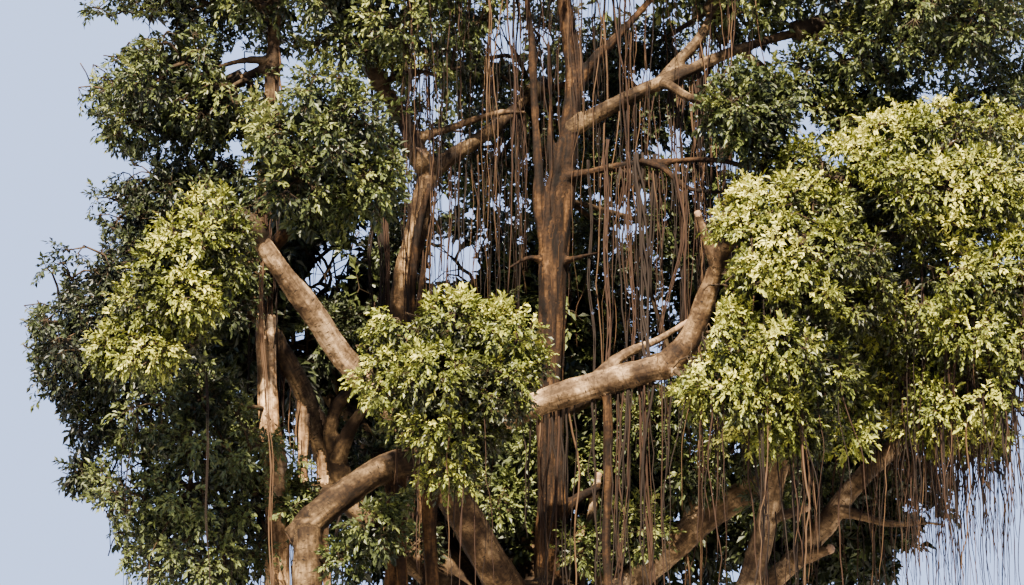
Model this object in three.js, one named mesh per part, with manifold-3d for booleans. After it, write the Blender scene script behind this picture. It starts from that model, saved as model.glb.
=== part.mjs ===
// Banyan tree: a fluted trunk, the leaders and boughs that fork from it, prop roots
// that reach the ground, and the foliage masses carried on the tips of the boughs.
// Millimetres, +Z up. The origin is the centre of the trunk's flat cut at ground
// level, and the front of the tree looks along -Y.

import * as THREE from "three";
import { mergeVertices } from "three/addons/utils/BufferGeometryUtils.js";
import Module from "manifold-3d";

const wasm = await Module();
wasm.setup();

// Clear space between neighbouring pieces
const GAP = 0.3;

// Trunk
const TRUNK_RADIUS = 620;
const FORK_RADIUS = 560;
const FLARE_RADIUS = 980;
const FLARE_HEIGHT = 1000;
const FORK_HEIGHT = 2150;
const DOME_HEIGHT = 140;
const DOME_SHARE = 0.55;
const TRUNK_LEAN = -60;
const BUTTRESSES = 7;
const BUTTRESS_DEPTH = 0.15;
const FLUTE_DEPTH = 0.05;
const TRUNK_SIDES = 21;
const TRUNK_RING_HEIGHTS = [0, 220, 520, FLARE_HEIGHT, 1600, FORK_HEIGHT];

// Limbs and roots
const LIMB_SIDES = 6;
const STUB_SIDES = 6;
const RINGS_PER_SPAN = 1.5;
const STEEP_ALONG_X = 0.9;

// Foliage: shares are of the way from a mass's centre to the edge of its space,
// and a core root's is of the way to the core's face
const STEM_SIDES = 5;
const STEM_LEAD = 90;
const TWIG_SIDES = 3;
const BRANCHES = 4;
const SPROUTS = 2;
const BRANCH_SHARE = 0.5;
const BRANCH_RADIUS = 36;
const SPROUT_SHARE = 0.74;
const TWIG_SHARE = 0.62;
const TWIG_RADIUS = 22;
const TWIG_SPACING = 0.15;
const CORE_SHARE = 0.74;
const CORE_DETAIL = 0;
const CORE_ROOT_SHARE = 0.9;
const TIP_SHARE = 0.97;
const LEAST_LEAVES = 8;
const LEAVES_PER_METRE = 5.8;
const OPEN_LEAVES = 0.62;
const LEAF_TRIES = 6;
const LEAF_SWEEP = 0.6;
const LEAF_DROOP = 0.35;
const LEAF_WIDTH = 0.26;
const LEAF_THICKNESS = 0.03;
const LEAF_BELLY = 0.55;
const END_ROOT = 40;
const DIRECTION_STRAY = 0.16;
const CELL_MARGIN = 10;

// Colours in daylight
const BARK = 0x9a8a78;
const ROOT_BARK = 0x7a5f4a;
const SUNLIT = 0x8f9a4c;
const GREEN = 0x5d7038;
const SHADE = 0x3f5230;
const BARK_ROUGHNESS = 0.85;
const LEAF_ROUGHNESS = 0.6;

// Each limb starts inside the piece that it grows on. A route's points are
// [x, y, z, radius of the limb there].
const LIMBS = {
  front_leader: [
    [-60, -240, 1500, 205],
    [-560, -720, 2450, 182],
    [-1150, -1260, 3500, 160],
    [-1060, -1980, 3860, 95],
  ],
  left_front_bough: [
    [-1150, -1200, 3560, 142],
    [-2010, -1600, 4440, 128],
    [-2510, -2000, 5050, 118],
    [-2940, -2320, 5680, 84],
  ],
  right_front_bough: [
    [-1190, -1200, 3600, 150],
    [-170, -1300, 4050, 146],
    [700, -1400, 4330, 140],
    [1270, -1500, 4440, 134],
  ],
  right_front_riser: [
    [1230, -1490, 4440, 128],
    [1470, -1600, 4680, 118],
    [1620, -1720, 5080, 106],
    [1730, -1900, 5450, 90],
    [1860, -2160, 5720, 76],
  ],
  low_left_bough: [
    [-1100, -1180, 3560, 150],
    [-1560, -1200, 3440, 152],
    [-2060, -1300, 3130, 150],
    [-2460, -1400, 2830, 160],
  ],
  left_leader: [
    [-200, 80, 1500, 180],
    [-1270, 300, 2420, 162],
    [-2220, 300, 3250, 142],
    [-2720, 100, 4450, 116],
    [-3270, -200, 5390, 106],
  ],
  left_high_leader: [
    [-3250, -180, 5300, 106],
    [-3110, -200, 7010, 86],
    [-3050, -150, 8750, 74],
  ],
  left_inner_branch: [
    [-3200, -200, 5740, 74],
    [-2850, -500, 6020, 70],
    [-2430, -1040, 6300, 60],
  ],
  left_shoulder_bough: [
    [-3190, -200, 6000, 70],
    [-3600, 20, 6320, 56],
  ],
  left_high_bough: [
    [-3075, -190, 8040, 56],
    [-3500, -90, 7900, 44],
  ],
  left_outer_bough: [
    [-3250, -190, 5250, 95],
    [-4020, -400, 5220, 72],
  ],
  left_low_bough: [
    [-2200, 290, 3230, 115],
    [-3020, -60, 3340, 86],
  ],
  centre_left_leader: [
    [-120, 300, 1500, 190],
    [-1250, 500, 3780, 168],
    [-1580, 320, 5620, 142],
    [-1380, 220, 6500, 116],
    [-1310, 200, 7000, 118],
  ],
  centre_left_high: [
    [-1330, 200, 6900, 104],
    [-1600, 200, 7500, 92],
    [-1880, 160, 7980, 80],
  ],
  centre_left_side: [
    [-1330, 210, 6880, 88],
    [-600, 400, 7440, 78],
    [-130, 1000, 8050, 66],
  ],
  central_leader: [
    [80, 160, 1500, 200],
    [80, -80, 2900, 132],
    [70, -100, 4590, 122],
    [130, -50, 6180, 140],
    [290, 0, 7200, 126],
    [370, 0, 7930, 102],
    [250, 0, 8900, 98],
    [240, 0, 9360, 90],
  ],
  right_high_bough: [
    [320, -20, 7380, 98],
    [1340, -200, 7860, 76],
    [2240, 0, 8310, 64],
    [2960, 140, 8560, 54],
  ],
  top_right_mid_bough: [
    [1330, -190, 7850, 66],
    [1780, -100, 8430, 60],
    [1950, 40, 8800, 54],
  ],
  centre_right_bough: [
    [1320, -200, 7850, 54],
    [1880, -1160, 7300, 42],
  ],
  right_shoulder_bough: [
    [2200, -10, 8290, 52],
    [3500, 400, 7480, 42],
  ],
  right_upper_bough: [
    [220, -60, 6780, 76],
    [1600, -860, 6810, 54],
    [2560, -1520, 6440, 46],
  ],
  right_low_limb: [
    [220, -180, 1600, 170],
    [1250, -780, 1720, 140],
    [1930, -1080, 2000, 122],
    [2260, -1400, 2860, 114],
    [2400, -1850, 3600, 108],
    [2430, -2150, 4010, 98],
  ],
  right_bough: [
    [240, 20, 1700, 180],
    [1010, -50, 2350, 165],
    [1570, -180, 2810, 158],
    [2330, -320, 3350, 148],
    [3590, -1460, 4440, 98],
  ],
  right_end_bough: [
    [260, -60, 1400, 150],
    [1650, -330, 1760, 124],
    [2680, -700, 2560, 112],
    [3140, -880, 3160, 106],
    [3720, -850, 3720, 96],
    [4150, -360, 4200, 80],
  ],
  right_back_bough: [
    [80, -40, 4120, 112],
    [1120, 880, 4730, 104],
    [2280, 1980, 5200, 90],
  ],
  back_low_right_bough: [
    [180, 220, 1600, 150],
    [560, 1000, 2900, 118],
    [2260, 1420, 3330, 84],
  ],
  back_left_leader: [
    [-160, 300, 1450, 185],
    [-1300, 1250, 2900, 165],
    [-2460, 2050, 4500, 120],
  ],
  back_centre_leader: [
    [0, 330, 1450, 195],
    [-120, 1500, 3200, 172],
    [-220, 2750, 4700, 122],
  ],
  back_low_bough: [
    [40, 320, 1500, 130],
    [130, 700, 1900, 114],
    [210, 1050, 2200, 98],
  ],
};

// Prop roots stand on the ground, and each ends in the limb that it holds up.
const PROP_ROOTS = {
  low_left_prop_root: [
    [-2430, -1400, 0, 240],
    [-2430, -1400, 900, 168],
    [-2450, -1400, 2200, 162],
    [-2460, -1400, 2860, 140],
  ],
  left_prop_root: [
    [-2760, -400, 0, 200],
    [-2800, -400, 1000, 125],
    [-2910, -350, 3360, 130],
    [-3080, -200, 5180, 100],
  ],
  front_prop_root: [
    [-1440, -1100, 0, 120],
    [-1470, -1100, 1400, 60],
    [-1530, -1190, 3480, 56],
  ],
  right_prop_root: [
    [600, -1350, 0, 120],
    [610, -1350, 1500, 58],
    [620, -1390, 4200, 50],
  ],
};

// Broken and sawn side stubs: the point in the limb where each starts, and its end
const STUBS = {
  right_front_riser: [[1735, -1880, 5400, 54], [1530, -1990, 5980, 42]],
  right_low_limb: [[2290, -1450, 2880, 46], [2690, -1510, 2990, 36]],
  right_end_bough: [[2560, -640, 2480, 66], [2990, -1000, 2600, 54]],
  low_left_bough: [[-2360, -1370, 2900, 118], [-2640, -1420, 2680, 108]],
};

// Each mass hangs on the tip of one limb and keeps to a space with this centre and
// these half sizes. A dense mass has a core. A space leans by so many degrees to the
// right in the front view.
const DENSE = true;
const OPEN = false;
const MASSES = {
  front_left: mass("left_front_bough", [-3680, -2650, 5070], [650, 850, 1250], SUNLIT, DENSE, 33),
  front_centre: mass("front_leader", [-940, -2650, 4010], [1050, 960, 1180], SUNLIT, DENSE),
  right_left: mass("right_front_riser", [2700, -2700, 5300], [1250, 1050, 1150], SUNLIT, DENSE),
  right_low: mass("right_low_limb", [2450, -2750, 4250], [1300, 1050, 1000], SUNLIT, DENSE),
  right_outer: mass("right_bough", [4200, -2150, 4850], [1350, 1250, 1450], SUNLIT, DENSE),
  right_upper: mass("right_upper_bough", [3850, -2000, 6050], [1650, 1300, 1150], SUNLIT, DENSE),
  centre_right: mass("centre_right_bough", [2200, -1600, 7130], [660, 680, 620], GREEN, DENSE),
  left_middle: mass("left_inner_branch", [-2300, -1700, 6680], [1000, 1020, 950], GREEN, DENSE),
  left_outer: mass("left_outer_bough", [-4700, -500, 4950], [1150, 1400, 1180], SHADE, DENSE),
  left_low: mass("left_low_bough", [-3750, -500, 3250], [1250, 1500, 1480], SHADE, DENSE, -20),
  left_shoulder: mass("left_shoulder_bough", [-4100, 200, 6450], [1150, 1350, 900], SHADE, DENSE),
  left_high: mass("left_high_bough", [-4100, 0, 7750], [1250, 1250, 850], GREEN, OPEN),
  top_left: mass("left_high_leader", [-3800, 200, 9250], [1700, 1600, 1100], GREEN, OPEN),
  top_centre_left: mass("centre_left_high", [-1750, 0, 9000], [1450, 1500, 1250], GREEN, OPEN),
  top_centre: mass("central_leader", [150, 200, 10250], [1900, 1800, 1300], GREEN, DENSE),
  top_right_mid: mass("top_right_mid_bough", [2300, 200, 9600], [1400, 1500, 1150], GREEN, DENSE),
  top_right: mass("right_high_bough", [4350, -200, 8850], [1700, 1650, 1350], GREEN, DENSE),
  right_shoulder: mass("right_shoulder_bough", [4750, 300, 6950], [1400, 1550, 1250], SHADE, DENSE),
  right_end: mass("right_end_bough", [4750, 300, 4750], [1300, 1450, 1400], SHADE, DENSE),
  back_high: mass("centre_left_side", [0, 2500, 8300], [2400, 1800, 1700], SHADE, OPEN),
  back_left: mass("back_left_leader", [-2900, 2700, 5700], [2000, 1700, 2200], SHADE, DENSE),
  back_centre: mass("back_centre_leader", [-200, 3700, 5600], [1900, 1600, 2100], SHADE, DENSE),
  back_right: mass("right_back_bough", [3200, 2700, 5800], [2000, 1700, 2200], SHADE, DENSE),
  back_low: mass("back_low_bough", [100, 2400, 3400], [3000, 1900, 1700], SHADE, DENSE),
  back_low_right: mass("back_low_right_bough", [3400, 1500, 3250], [1500, 1300, 1200], SHADE, DENSE),
};

function mass(limb, centre, reach, tone, dense, lean = 0) {
  const meanReach = (reach[0] + reach[1] + reach[2]) / 3;
  const fullCount = LEAST_LEAVES + LEAVES_PER_METRE * meanReach / 1000;
  const leaves = Math.round(dense ? fullCount : OPEN_LEAVES * fullCount);
  return { limb, centre, reach, meanReach, tone, dense, lean, leaves };
}

// Solids from geometries

function geometryFrom(points, faces) {
  const geometry = new THREE.BufferGeometry();
  const positions = points.flatMap((point) => point.toArray());
  geometry.setAttribute("position", new THREE.Float32BufferAttribute(positions, 3));
  geometry.setIndex(faces);
  return geometry;
}

function solidOf(geometry) {
  return new wasm.Manifold(
    new wasm.Mesh({
      numProp: 3,
      vertProperties: geometry.getAttribute("position").array,
      triVerts: new Uint32Array(geometry.index.array),
    }),
  );
}

function geometryOf(solid) {
  const { vertProperties, triVerts } = solid.getMesh();
  const geometry = new THREE.BufferGeometry();
  geometry.setAttribute("position", new THREE.BufferAttribute(vertProperties, 3));
  geometry.setIndex(new THREE.BufferAttribute(triVerts, 1));
  return geometry;
}

function joined(solids) {
  return solids.reduce((whole, solid) => whole.add(solid));
}

// A cut can leave loose scraps, and a join can seal a hollow inside.
// The outer skin of the largest body has neither.
function largestBody(solid) {
  const bodies = solid.decompose();
  return bodies.reduce((best, body) => (body.volume() > best.volume() ? body : best));
}

// A closed skin over rings that hold equally many points, each end fanned shut
function loft(rings) {
  const sides = rings[0].length;
  const faces = [];
  for (let ring = 0; ring < rings.length - 1; ring += 1) {
    for (let side = 0; side < sides; side += 1) {
      const a = ring * sides + side;
      const b = ring * sides + ((side + 1) % sides);
      faces.push(a, b, b + sides, a, b + sides, a + sides);
    }
  }
  const last = (rings.length - 1) * sides;
  for (let side = 1; side < sides - 1; side += 1) {
    faces.push(0, side + 1, side);
    faces.push(last, last + side, last + side + 1);
  }
  return geometryFrom(rings.flat(), faces);
}

// Limbs and roots

// A ring of points round a centre, in the plane of two directions
function ringRound(centre, across, beside, radius, sides) {
  return Array.from({ length: sides }, (_, side) => {
    const turn = (2 * Math.PI * side) / sides;
    return centre.clone()
      .addScaledVector(across, radius * Math.cos(turn))
      .addScaledVector(beside, radius * Math.sin(turn));
  });
}

// A tapering limb along a smooth curve through its route. The margin fattens it all
// round and at both ends, which gives the space that its neighbours leave clear.
function limbGeometry(route, sides, margin = 0, rooted = false) {
  const points = route.map(([x, y, z]) => new THREE.Vector3(x, y, z));
  const curve = new THREE.CatmullRomCurve3(points, false, "centripetal");
  const spans = route.length - 1;
  const steps = spans > 1 ? Math.ceil(spans * RINGS_PER_SPAN) : 1;
  const cornerMargin = margin / Math.cos(Math.PI / sides);
  const across = new THREE.Vector3(1, 0, 0);
  if (Math.abs(curve.getTangent(0).x) > STEEP_ALONG_X) across.set(0, 1, 0);
  const rings = [];
  for (let step = 0; step <= steps; step += 1) {
    const t = step / steps;
    const span = Math.min(Math.floor(t * spans), spans - 1);
    const radius = THREE.MathUtils.lerp(route[span][3], route[span + 1][3], t * spans - span);
    const centre = curve.getPoint(t);
    const along = rooted && step === 0 ? new THREE.Vector3(0, 0, 1) : curve.getTangent(t);
    if (step === 0) centre.addScaledVector(along, -margin);
    if (step === steps) centre.addScaledVector(along, margin);
    across.addScaledVector(along, -across.dot(along)).normalize();
    const beside = new THREE.Vector3().crossVectors(along, across);
    rings.push(ringRound(centre, across, beside, radius + cornerMargin, sides));
  }
  return loft(rings);
}

function limbSolid(name, route, margin = 0, rooted = false) {
  const limb = solidOf(limbGeometry(route, LIMB_SIDES, margin, rooted));
  if (!STUBS[name]) return limb;
  return limb.add(solidOf(limbGeometry(STUBS[name], STUB_SIDES, margin)));
}

// The trunk is fluted up to its fork and spreads into buttresses at the ground.
function trunkRing(height, margin, share = 1) {
  const flare = Math.max(0, 1 - height / FLARE_HEIGHT) ** 2;
  const rise = Math.min(1, height / FORK_HEIGHT);
  const taper = THREE.MathUtils.lerp(TRUNK_RADIUS, FORK_RADIUS, rise);
  const radius = THREE.MathUtils.lerp(taper, FLARE_RADIUS, flare) * share;
  const depth = FLUTE_DEPTH + BUTTRESS_DEPTH * flare;
  return Array.from({ length: TRUNK_SIDES }, (_, side) => {
    const turn = (2 * Math.PI * side) / TRUNK_SIDES;
    const reach = radius * (1 + depth * Math.cos(BUTTRESSES * turn)) + margin;
    return new THREE.Vector3(
      TRUNK_LEAN * rise + reach * Math.cos(turn),
      reach * Math.sin(turn),
      height,
    );
  });
}

function trunkSolid(margin = 0) {
  const rings = TRUNK_RING_HEIGHTS.map((height) => trunkRing(height, margin));
  rings.push(trunkRing(FORK_HEIGHT + DOME_HEIGHT + margin, margin, DOME_SHARE));
  return solidOf(loft(rings));
}

// Foliage

// Random numbers from 0 to 1 that are the same in every run
function seeded(seed) {
  let state = seed;
  return () => {
    state = (state + 0x6d2b79f5) | 0;
    let mixed = Math.imul(state ^ (state >>> 15), 1 | state);
    mixed = (mixed + Math.imul(mixed ^ (mixed >>> 7), 61 | mixed)) ^ mixed;
    return ((mixed ^ (mixed >>> 14)) >>> 0) / 2 ** 32;
  };
}

// Directions spread evenly over a sphere, each a little out of its place
function evenDirections(count, random) {
  const goldenAngle = Math.PI * (3 - Math.sqrt(5));
  const start = random() * 2 * Math.PI;
  const stray = () => DIRECTION_STRAY * (2 * random() - 1);
  return Array.from({ length: count }, (_, index) => {
    const height = 1 - (2 * index + 1) / count;
    const round = Math.sqrt(1 - height * height);
    const turn = start + goldenAngle * index;
    return new THREE.Vector3(
      round * Math.cos(turn) + stray(),
      round * Math.sin(turn) + stray(),
      height + stray(),
    ).normalize();
  });
}

// A mass's space: its centre, its half sizes and its lean, with a plane between it
// and each neighbour whose space would run into it
function spaceOf(name) {
  const { centre, reach, lean } = MASSES[name];
  const turned = new THREE.Matrix4().makeRotationY(THREE.MathUtils.degToRad(lean));
  const space = {
    centre: new THREE.Vector3(...centre),
    reach: new THREE.Vector3(...reach),
    turned,
    upright: turned.clone().invert(),
    walls: [],
  };
  space.pointAt = (direction, share) =>
    direction.clone()
      .multiply(space.reach)
      .multiplyScalar(share)
      .applyMatrix4(space.turned)
      .add(space.centre);
  space.extentAlong = (direction) =>
    direction.clone().applyMatrix4(space.upright).multiply(space.reach).length();
  space.holds = (point) =>
    space.walls.every(({ outward, limit }) => outward.dot(point) < limit)
    && point.clone().sub(space.centre).applyMatrix4(space.upright).divide(space.reach).length() < 1;
  return space;
}

function addWalls(space, spaces) {
  for (const other of spaces) {
    if (other === space) continue;
    const outward = other.centre.clone().sub(space.centre);
    const distance = outward.length();
    outward.normalize();
    const ownExtent = space.extentAlong(outward);
    const bothExtents = ownExtent + other.extentAlong(outward);
    if (bothExtents < distance) continue;
    const wallDistance = (distance * ownExtent) / bothExtents - CELL_MARGIN;
    space.walls.push({
      outward,
      limit: outward.dot(space.centre) + wallDistance,
      coreShare: wallDistance / ownExtent,
    });
  }
}

// An eight-faced blade from its root to its tip, widest at its belly
function leafGeometry(root, tip, outward, width) {
  const along = tip.clone().sub(root);
  const facing = outward.clone().projectOnPlane(along.clone().normalize()).normalize();
  const beside = new THREE.Vector3().crossVectors(along, facing).normalize();
  const belly = root.clone().lerp(tip, LEAF_BELLY);
  const thickness = LEAF_THICKNESS * along.length();
  const points = [
    root,
    tip,
    belly.clone().addScaledVector(beside, width),
    belly.clone().addScaledVector(facing, thickness),
    belly.clone().addScaledVector(beside, -width),
    belly.clone().addScaledVector(facing, -thickness),
  ];
  const faces = [];
  for (let corner = 0; corner < 4; corner += 1) {
    const here = 2 + corner;
    const next = 2 + ((corner + 1) % 4);
    faces.push(0, here, next, 1, next, here);
  }
  return geometryFrom(points, faces);
}

// A leaf's tip lies to one side of its root's direction, more often below it.
function sweptDirection(direction, random) {
  const side = new THREE.Vector3(random() - 0.5, random() - 0.5, random() - 0.5).normalize();
  side.z -= LEAF_DROOP;
  return direction.clone().addScaledVector(side, LEAF_SWEEP).normalize();
}

function straightLimb(start, end, startRadius, endRadius) {
  const route = [[...start.toArray(), startRadius], [...end.toArray(), endRadius]];
  return limbGeometry(route, TWIG_SIDES);
}

function coreShareOf(space) {
  return Math.min(CORE_SHARE, ...space.walls.map((wall) => wall.coreShare));
}

function coreGeometry(space) {
  const ball = new THREE.IcosahedronGeometry(coreShareOf(space), CORE_DETAIL);
  ball.deleteAttribute("normal");
  ball.deleteAttribute("uv");
  return mergeVertices(ball)
    .scale(...space.reach.toArray())
    .applyMatrix4(space.turned)
    .translate(...space.centre.toArray());
}

// The middles of the faces of a core of radius 1, where its leaves are rooted
function coreFaceMiddles() {
  const position = new THREE.IcosahedronGeometry(1, CORE_DETAIL).getAttribute("position");
  const corner = (index) => new THREE.Vector3().fromBufferAttribute(position, index);
  return Array.from({ length: position.count / 3 }, (_, face) =>
    corner(3 * face).add(corner(3 * face + 1)).add(corner(3 * face + 2)).divideScalar(3));
}

// The stem runs on from the tip of the bough to the mass's centre.
function stemOf(spec, space) {
  const [beforeTip, limbTip] = LIMBS[spec.limb].slice(-2);
  const tip = new THREE.Vector3(...limbTip);
  const heading = tip.clone().sub(new THREE.Vector3(...beforeTip)).normalize();
  const lead = tip.clone().addScaledVector(heading, STEM_LEAD);
  const route = [
    [...tip.clone().addScaledVector(heading, -STEM_LEAD).toArray(), limbTip[3]],
    [...lead.toArray(), limbTip[3]],
    [...space.centre.toArray(), BRANCH_RADIUS],
  ];
  return { lead, stem: limbGeometry(route, STEM_SIDES) };
}

// A stem with branches and twigs that carry leaves. In a dense mass the branches and
// most of the leaves stand out of a core. What would leave the space or touch a limb
// or another leaf is left out.
function massSolid(spec, space, seed, limbSpaces) {
  const random = seeded(seed);
  let taken = limbSpaces;
  const fits = (geometry) => {
    const position = geometry.getAttribute("position");
    for (let index = 0; index < position.count; index += 1) {
      if (!space.holds(new THREE.Vector3().fromBufferAttribute(position, index))) return false;
    }
    return taken.intersect(solidOf(geometry)).isEmpty();
  };
  const width = LEAF_WIDTH * spec.meanReach;
  const { lead, stem } = stemOf(spec, space);
  const pieces = [stem];

  // A leaf with its root inside its carrier, turned until it has room
  const addLeaf = (direction, root) => {
    for (let attempt = 0; attempt < LEAF_TRIES; attempt += 1) {
      const tip = space.pointAt(sweptDirection(direction, random), TIP_SHARE);
      const leaf = leafGeometry(root, tip, root.clone().sub(space.centre), width);
      if (!fits(leaf)) continue;
      pieces.push(leaf);
      taken = taken.add(solidOf(leaf));
      return;
    }
  };

  // A twig or branch with a leaf at its end
  const addTwig = (direction, start, end, startRadius) => {
    const twig = straightLimb(start, end, startRadius, TWIG_RADIUS);
    if (!fits(twig)) return false;
    pieces.push(twig);
    addLeaf(direction, start.clone().sub(end).setLength(END_ROOT).add(end));
    return true;
  };

  const branches = [];
  const branchCount = spec.dense ? SPROUTS : BRANCHES;
  evenDirections(branchCount, random).forEach((direction, index) => {
    const start = lead.clone().lerp(space.centre, (index + 1) / branchCount);
    const end = space.pointAt(direction, spec.dense ? SPROUT_SHARE : BRANCH_SHARE);
    if (addTwig(direction, start, end, BRANCH_RADIUS)) branches.push({ start, end, twigs: 0 });
  });

  if (spec.dense) {
    const faces = coreFaceMiddles();
    for (const wanted of evenDirections(spec.leaves, random)) {
      const face = faces.reduce((a, b) => (a.dot(wanted) > b.dot(wanted) ? a : b));
      addLeaf(wanted, space.pointAt(face, CORE_ROOT_SHARE * coreShareOf(space)));
    }
    pieces.push(coreGeometry(space));
  } else {
    for (const direction of evenDirections(spec.leaves, random)) {
      const end = space.pointAt(direction, TWIG_SHARE);
      const branch = branches.reduce((a, b) => (a.end.distanceTo(end) < b.end.distanceTo(end) ? a : b));
      branch.twigs += 1;
      const start = branch.end.clone().lerp(branch.start, TWIG_SPACING * branch.twigs);
      addTwig(direction, start, end, TWIG_RADIUS);
    }
  }
  return largestBody(joined(pieces.map(solidOf)).subtract(limbSpaces));
}

// Assembly

function pieceMesh(name, solid, colour, roughness) {
  const material = new THREE.MeshStandardMaterial({ color: colour, roughness, metalness: 0 });
  const mesh = new THREE.Mesh(geometryOf(solid), material);
  mesh.name = name;
  return mesh;
}

const tree = new THREE.Group();
const limbs = new THREE.Group();
const foliage = new THREE.Group();
tree.add(limbs, foliage);

// Each limb is cut clear of the ones before it, which it grows out of or passes.
limbs.add(pieceMesh("trunk", trunkSolid(), BARK, BARK_ROUGHNESS));
let limbSpaces = trunkSolid(GAP);
const allLimbs = [
  ...Object.entries(LIMBS).map(([name, route]) => ({ name, route, rooted: false })),
  ...Object.entries(PROP_ROOTS).map(([name, route]) => ({ name, route, rooted: true })),
];
for (const { name, route, rooted } of allLimbs) {
  const limb = largestBody(limbSolid(name, route, 0, rooted).subtract(limbSpaces));
  limbs.add(pieceMesh(name, limb, rooted ? ROOT_BARK : BARK, BARK_ROUGHNESS));
  limbSpaces = limbSpaces.add(limbSolid(name, route, GAP, rooted));
}

const names = Object.keys(MASSES);
const spaces = names.map(spaceOf);
spaces.forEach((space) => addWalls(space, spaces));
names.forEach((name, index) => {
  const solid = massSolid(MASSES[name], spaces[index], index + 1, limbSpaces);
  foliage.add(pieceMesh(name, solid, MASSES[name].tone, LEAF_ROUGHNESS));
});

export default tree;
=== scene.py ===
"""The looks of the banyan tree: bark, boughs, hanging roots and leafy crown around
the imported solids. Metres, +Z up, the front of the tree facing -Y."""

import math
from collections import namedtuple

import bpy
import numpy as np
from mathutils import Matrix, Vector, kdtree


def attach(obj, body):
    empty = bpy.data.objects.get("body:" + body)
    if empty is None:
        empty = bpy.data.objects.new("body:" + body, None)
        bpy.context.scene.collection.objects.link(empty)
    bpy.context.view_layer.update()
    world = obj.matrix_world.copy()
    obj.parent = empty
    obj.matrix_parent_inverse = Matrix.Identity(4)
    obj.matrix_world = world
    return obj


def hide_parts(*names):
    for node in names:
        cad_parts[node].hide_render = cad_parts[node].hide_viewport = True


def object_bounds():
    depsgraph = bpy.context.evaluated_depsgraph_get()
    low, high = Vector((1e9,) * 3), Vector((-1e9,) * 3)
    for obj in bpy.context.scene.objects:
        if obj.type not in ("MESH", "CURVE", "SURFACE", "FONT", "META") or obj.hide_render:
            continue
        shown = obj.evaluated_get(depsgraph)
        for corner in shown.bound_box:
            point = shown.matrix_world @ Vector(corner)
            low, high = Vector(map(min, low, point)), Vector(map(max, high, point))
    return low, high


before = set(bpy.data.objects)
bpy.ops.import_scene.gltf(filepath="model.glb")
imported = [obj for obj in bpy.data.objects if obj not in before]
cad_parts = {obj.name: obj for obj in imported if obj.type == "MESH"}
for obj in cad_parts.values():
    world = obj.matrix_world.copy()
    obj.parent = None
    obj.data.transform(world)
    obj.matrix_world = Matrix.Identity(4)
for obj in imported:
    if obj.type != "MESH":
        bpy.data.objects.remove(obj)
cad_box = [list(corner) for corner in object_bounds()]

# Camera
CAMERA_PLACE = (-0.36, -22.0, 1.6)
CAMERA_PITCH = 10
CAMERA_LENS = 70.35

# Trunk, as in the part's source
TRUNK_RADIUS = 0.62
FORK_RADIUS = 0.56
FLARE_RADIUS = 0.98
FLARE_HEIGHT = 1.0
FORK_HEIGHT = 2.15
DOME_HEIGHT = 0.14
TRUNK_LEAN = -0.06
BUTTRESSES = 7
BUTTRESS_DEPTH = 0.15
FLUTE_DEPTH = 0.05

# Fused bark skin
VOXEL = 0.02
RING_STEP = 0.06
TRUNK_STEP = 0.05
TRUNK_SIDES = 84
TRUNK_SKIN = 0.15
LIMB_SIDES = 20
SLIGHT_LIMB_SIDES = 12
SMOOTH_ROUNDS = 4

# Tones of leaves, painted light and shade: sunlit leaves painted pale, half-lit ones between (named green in
# their materials) and shaded ones dark
SUNLIT, HALF_LIT, SHADE = "sunlit", "green", "shade"

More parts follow.
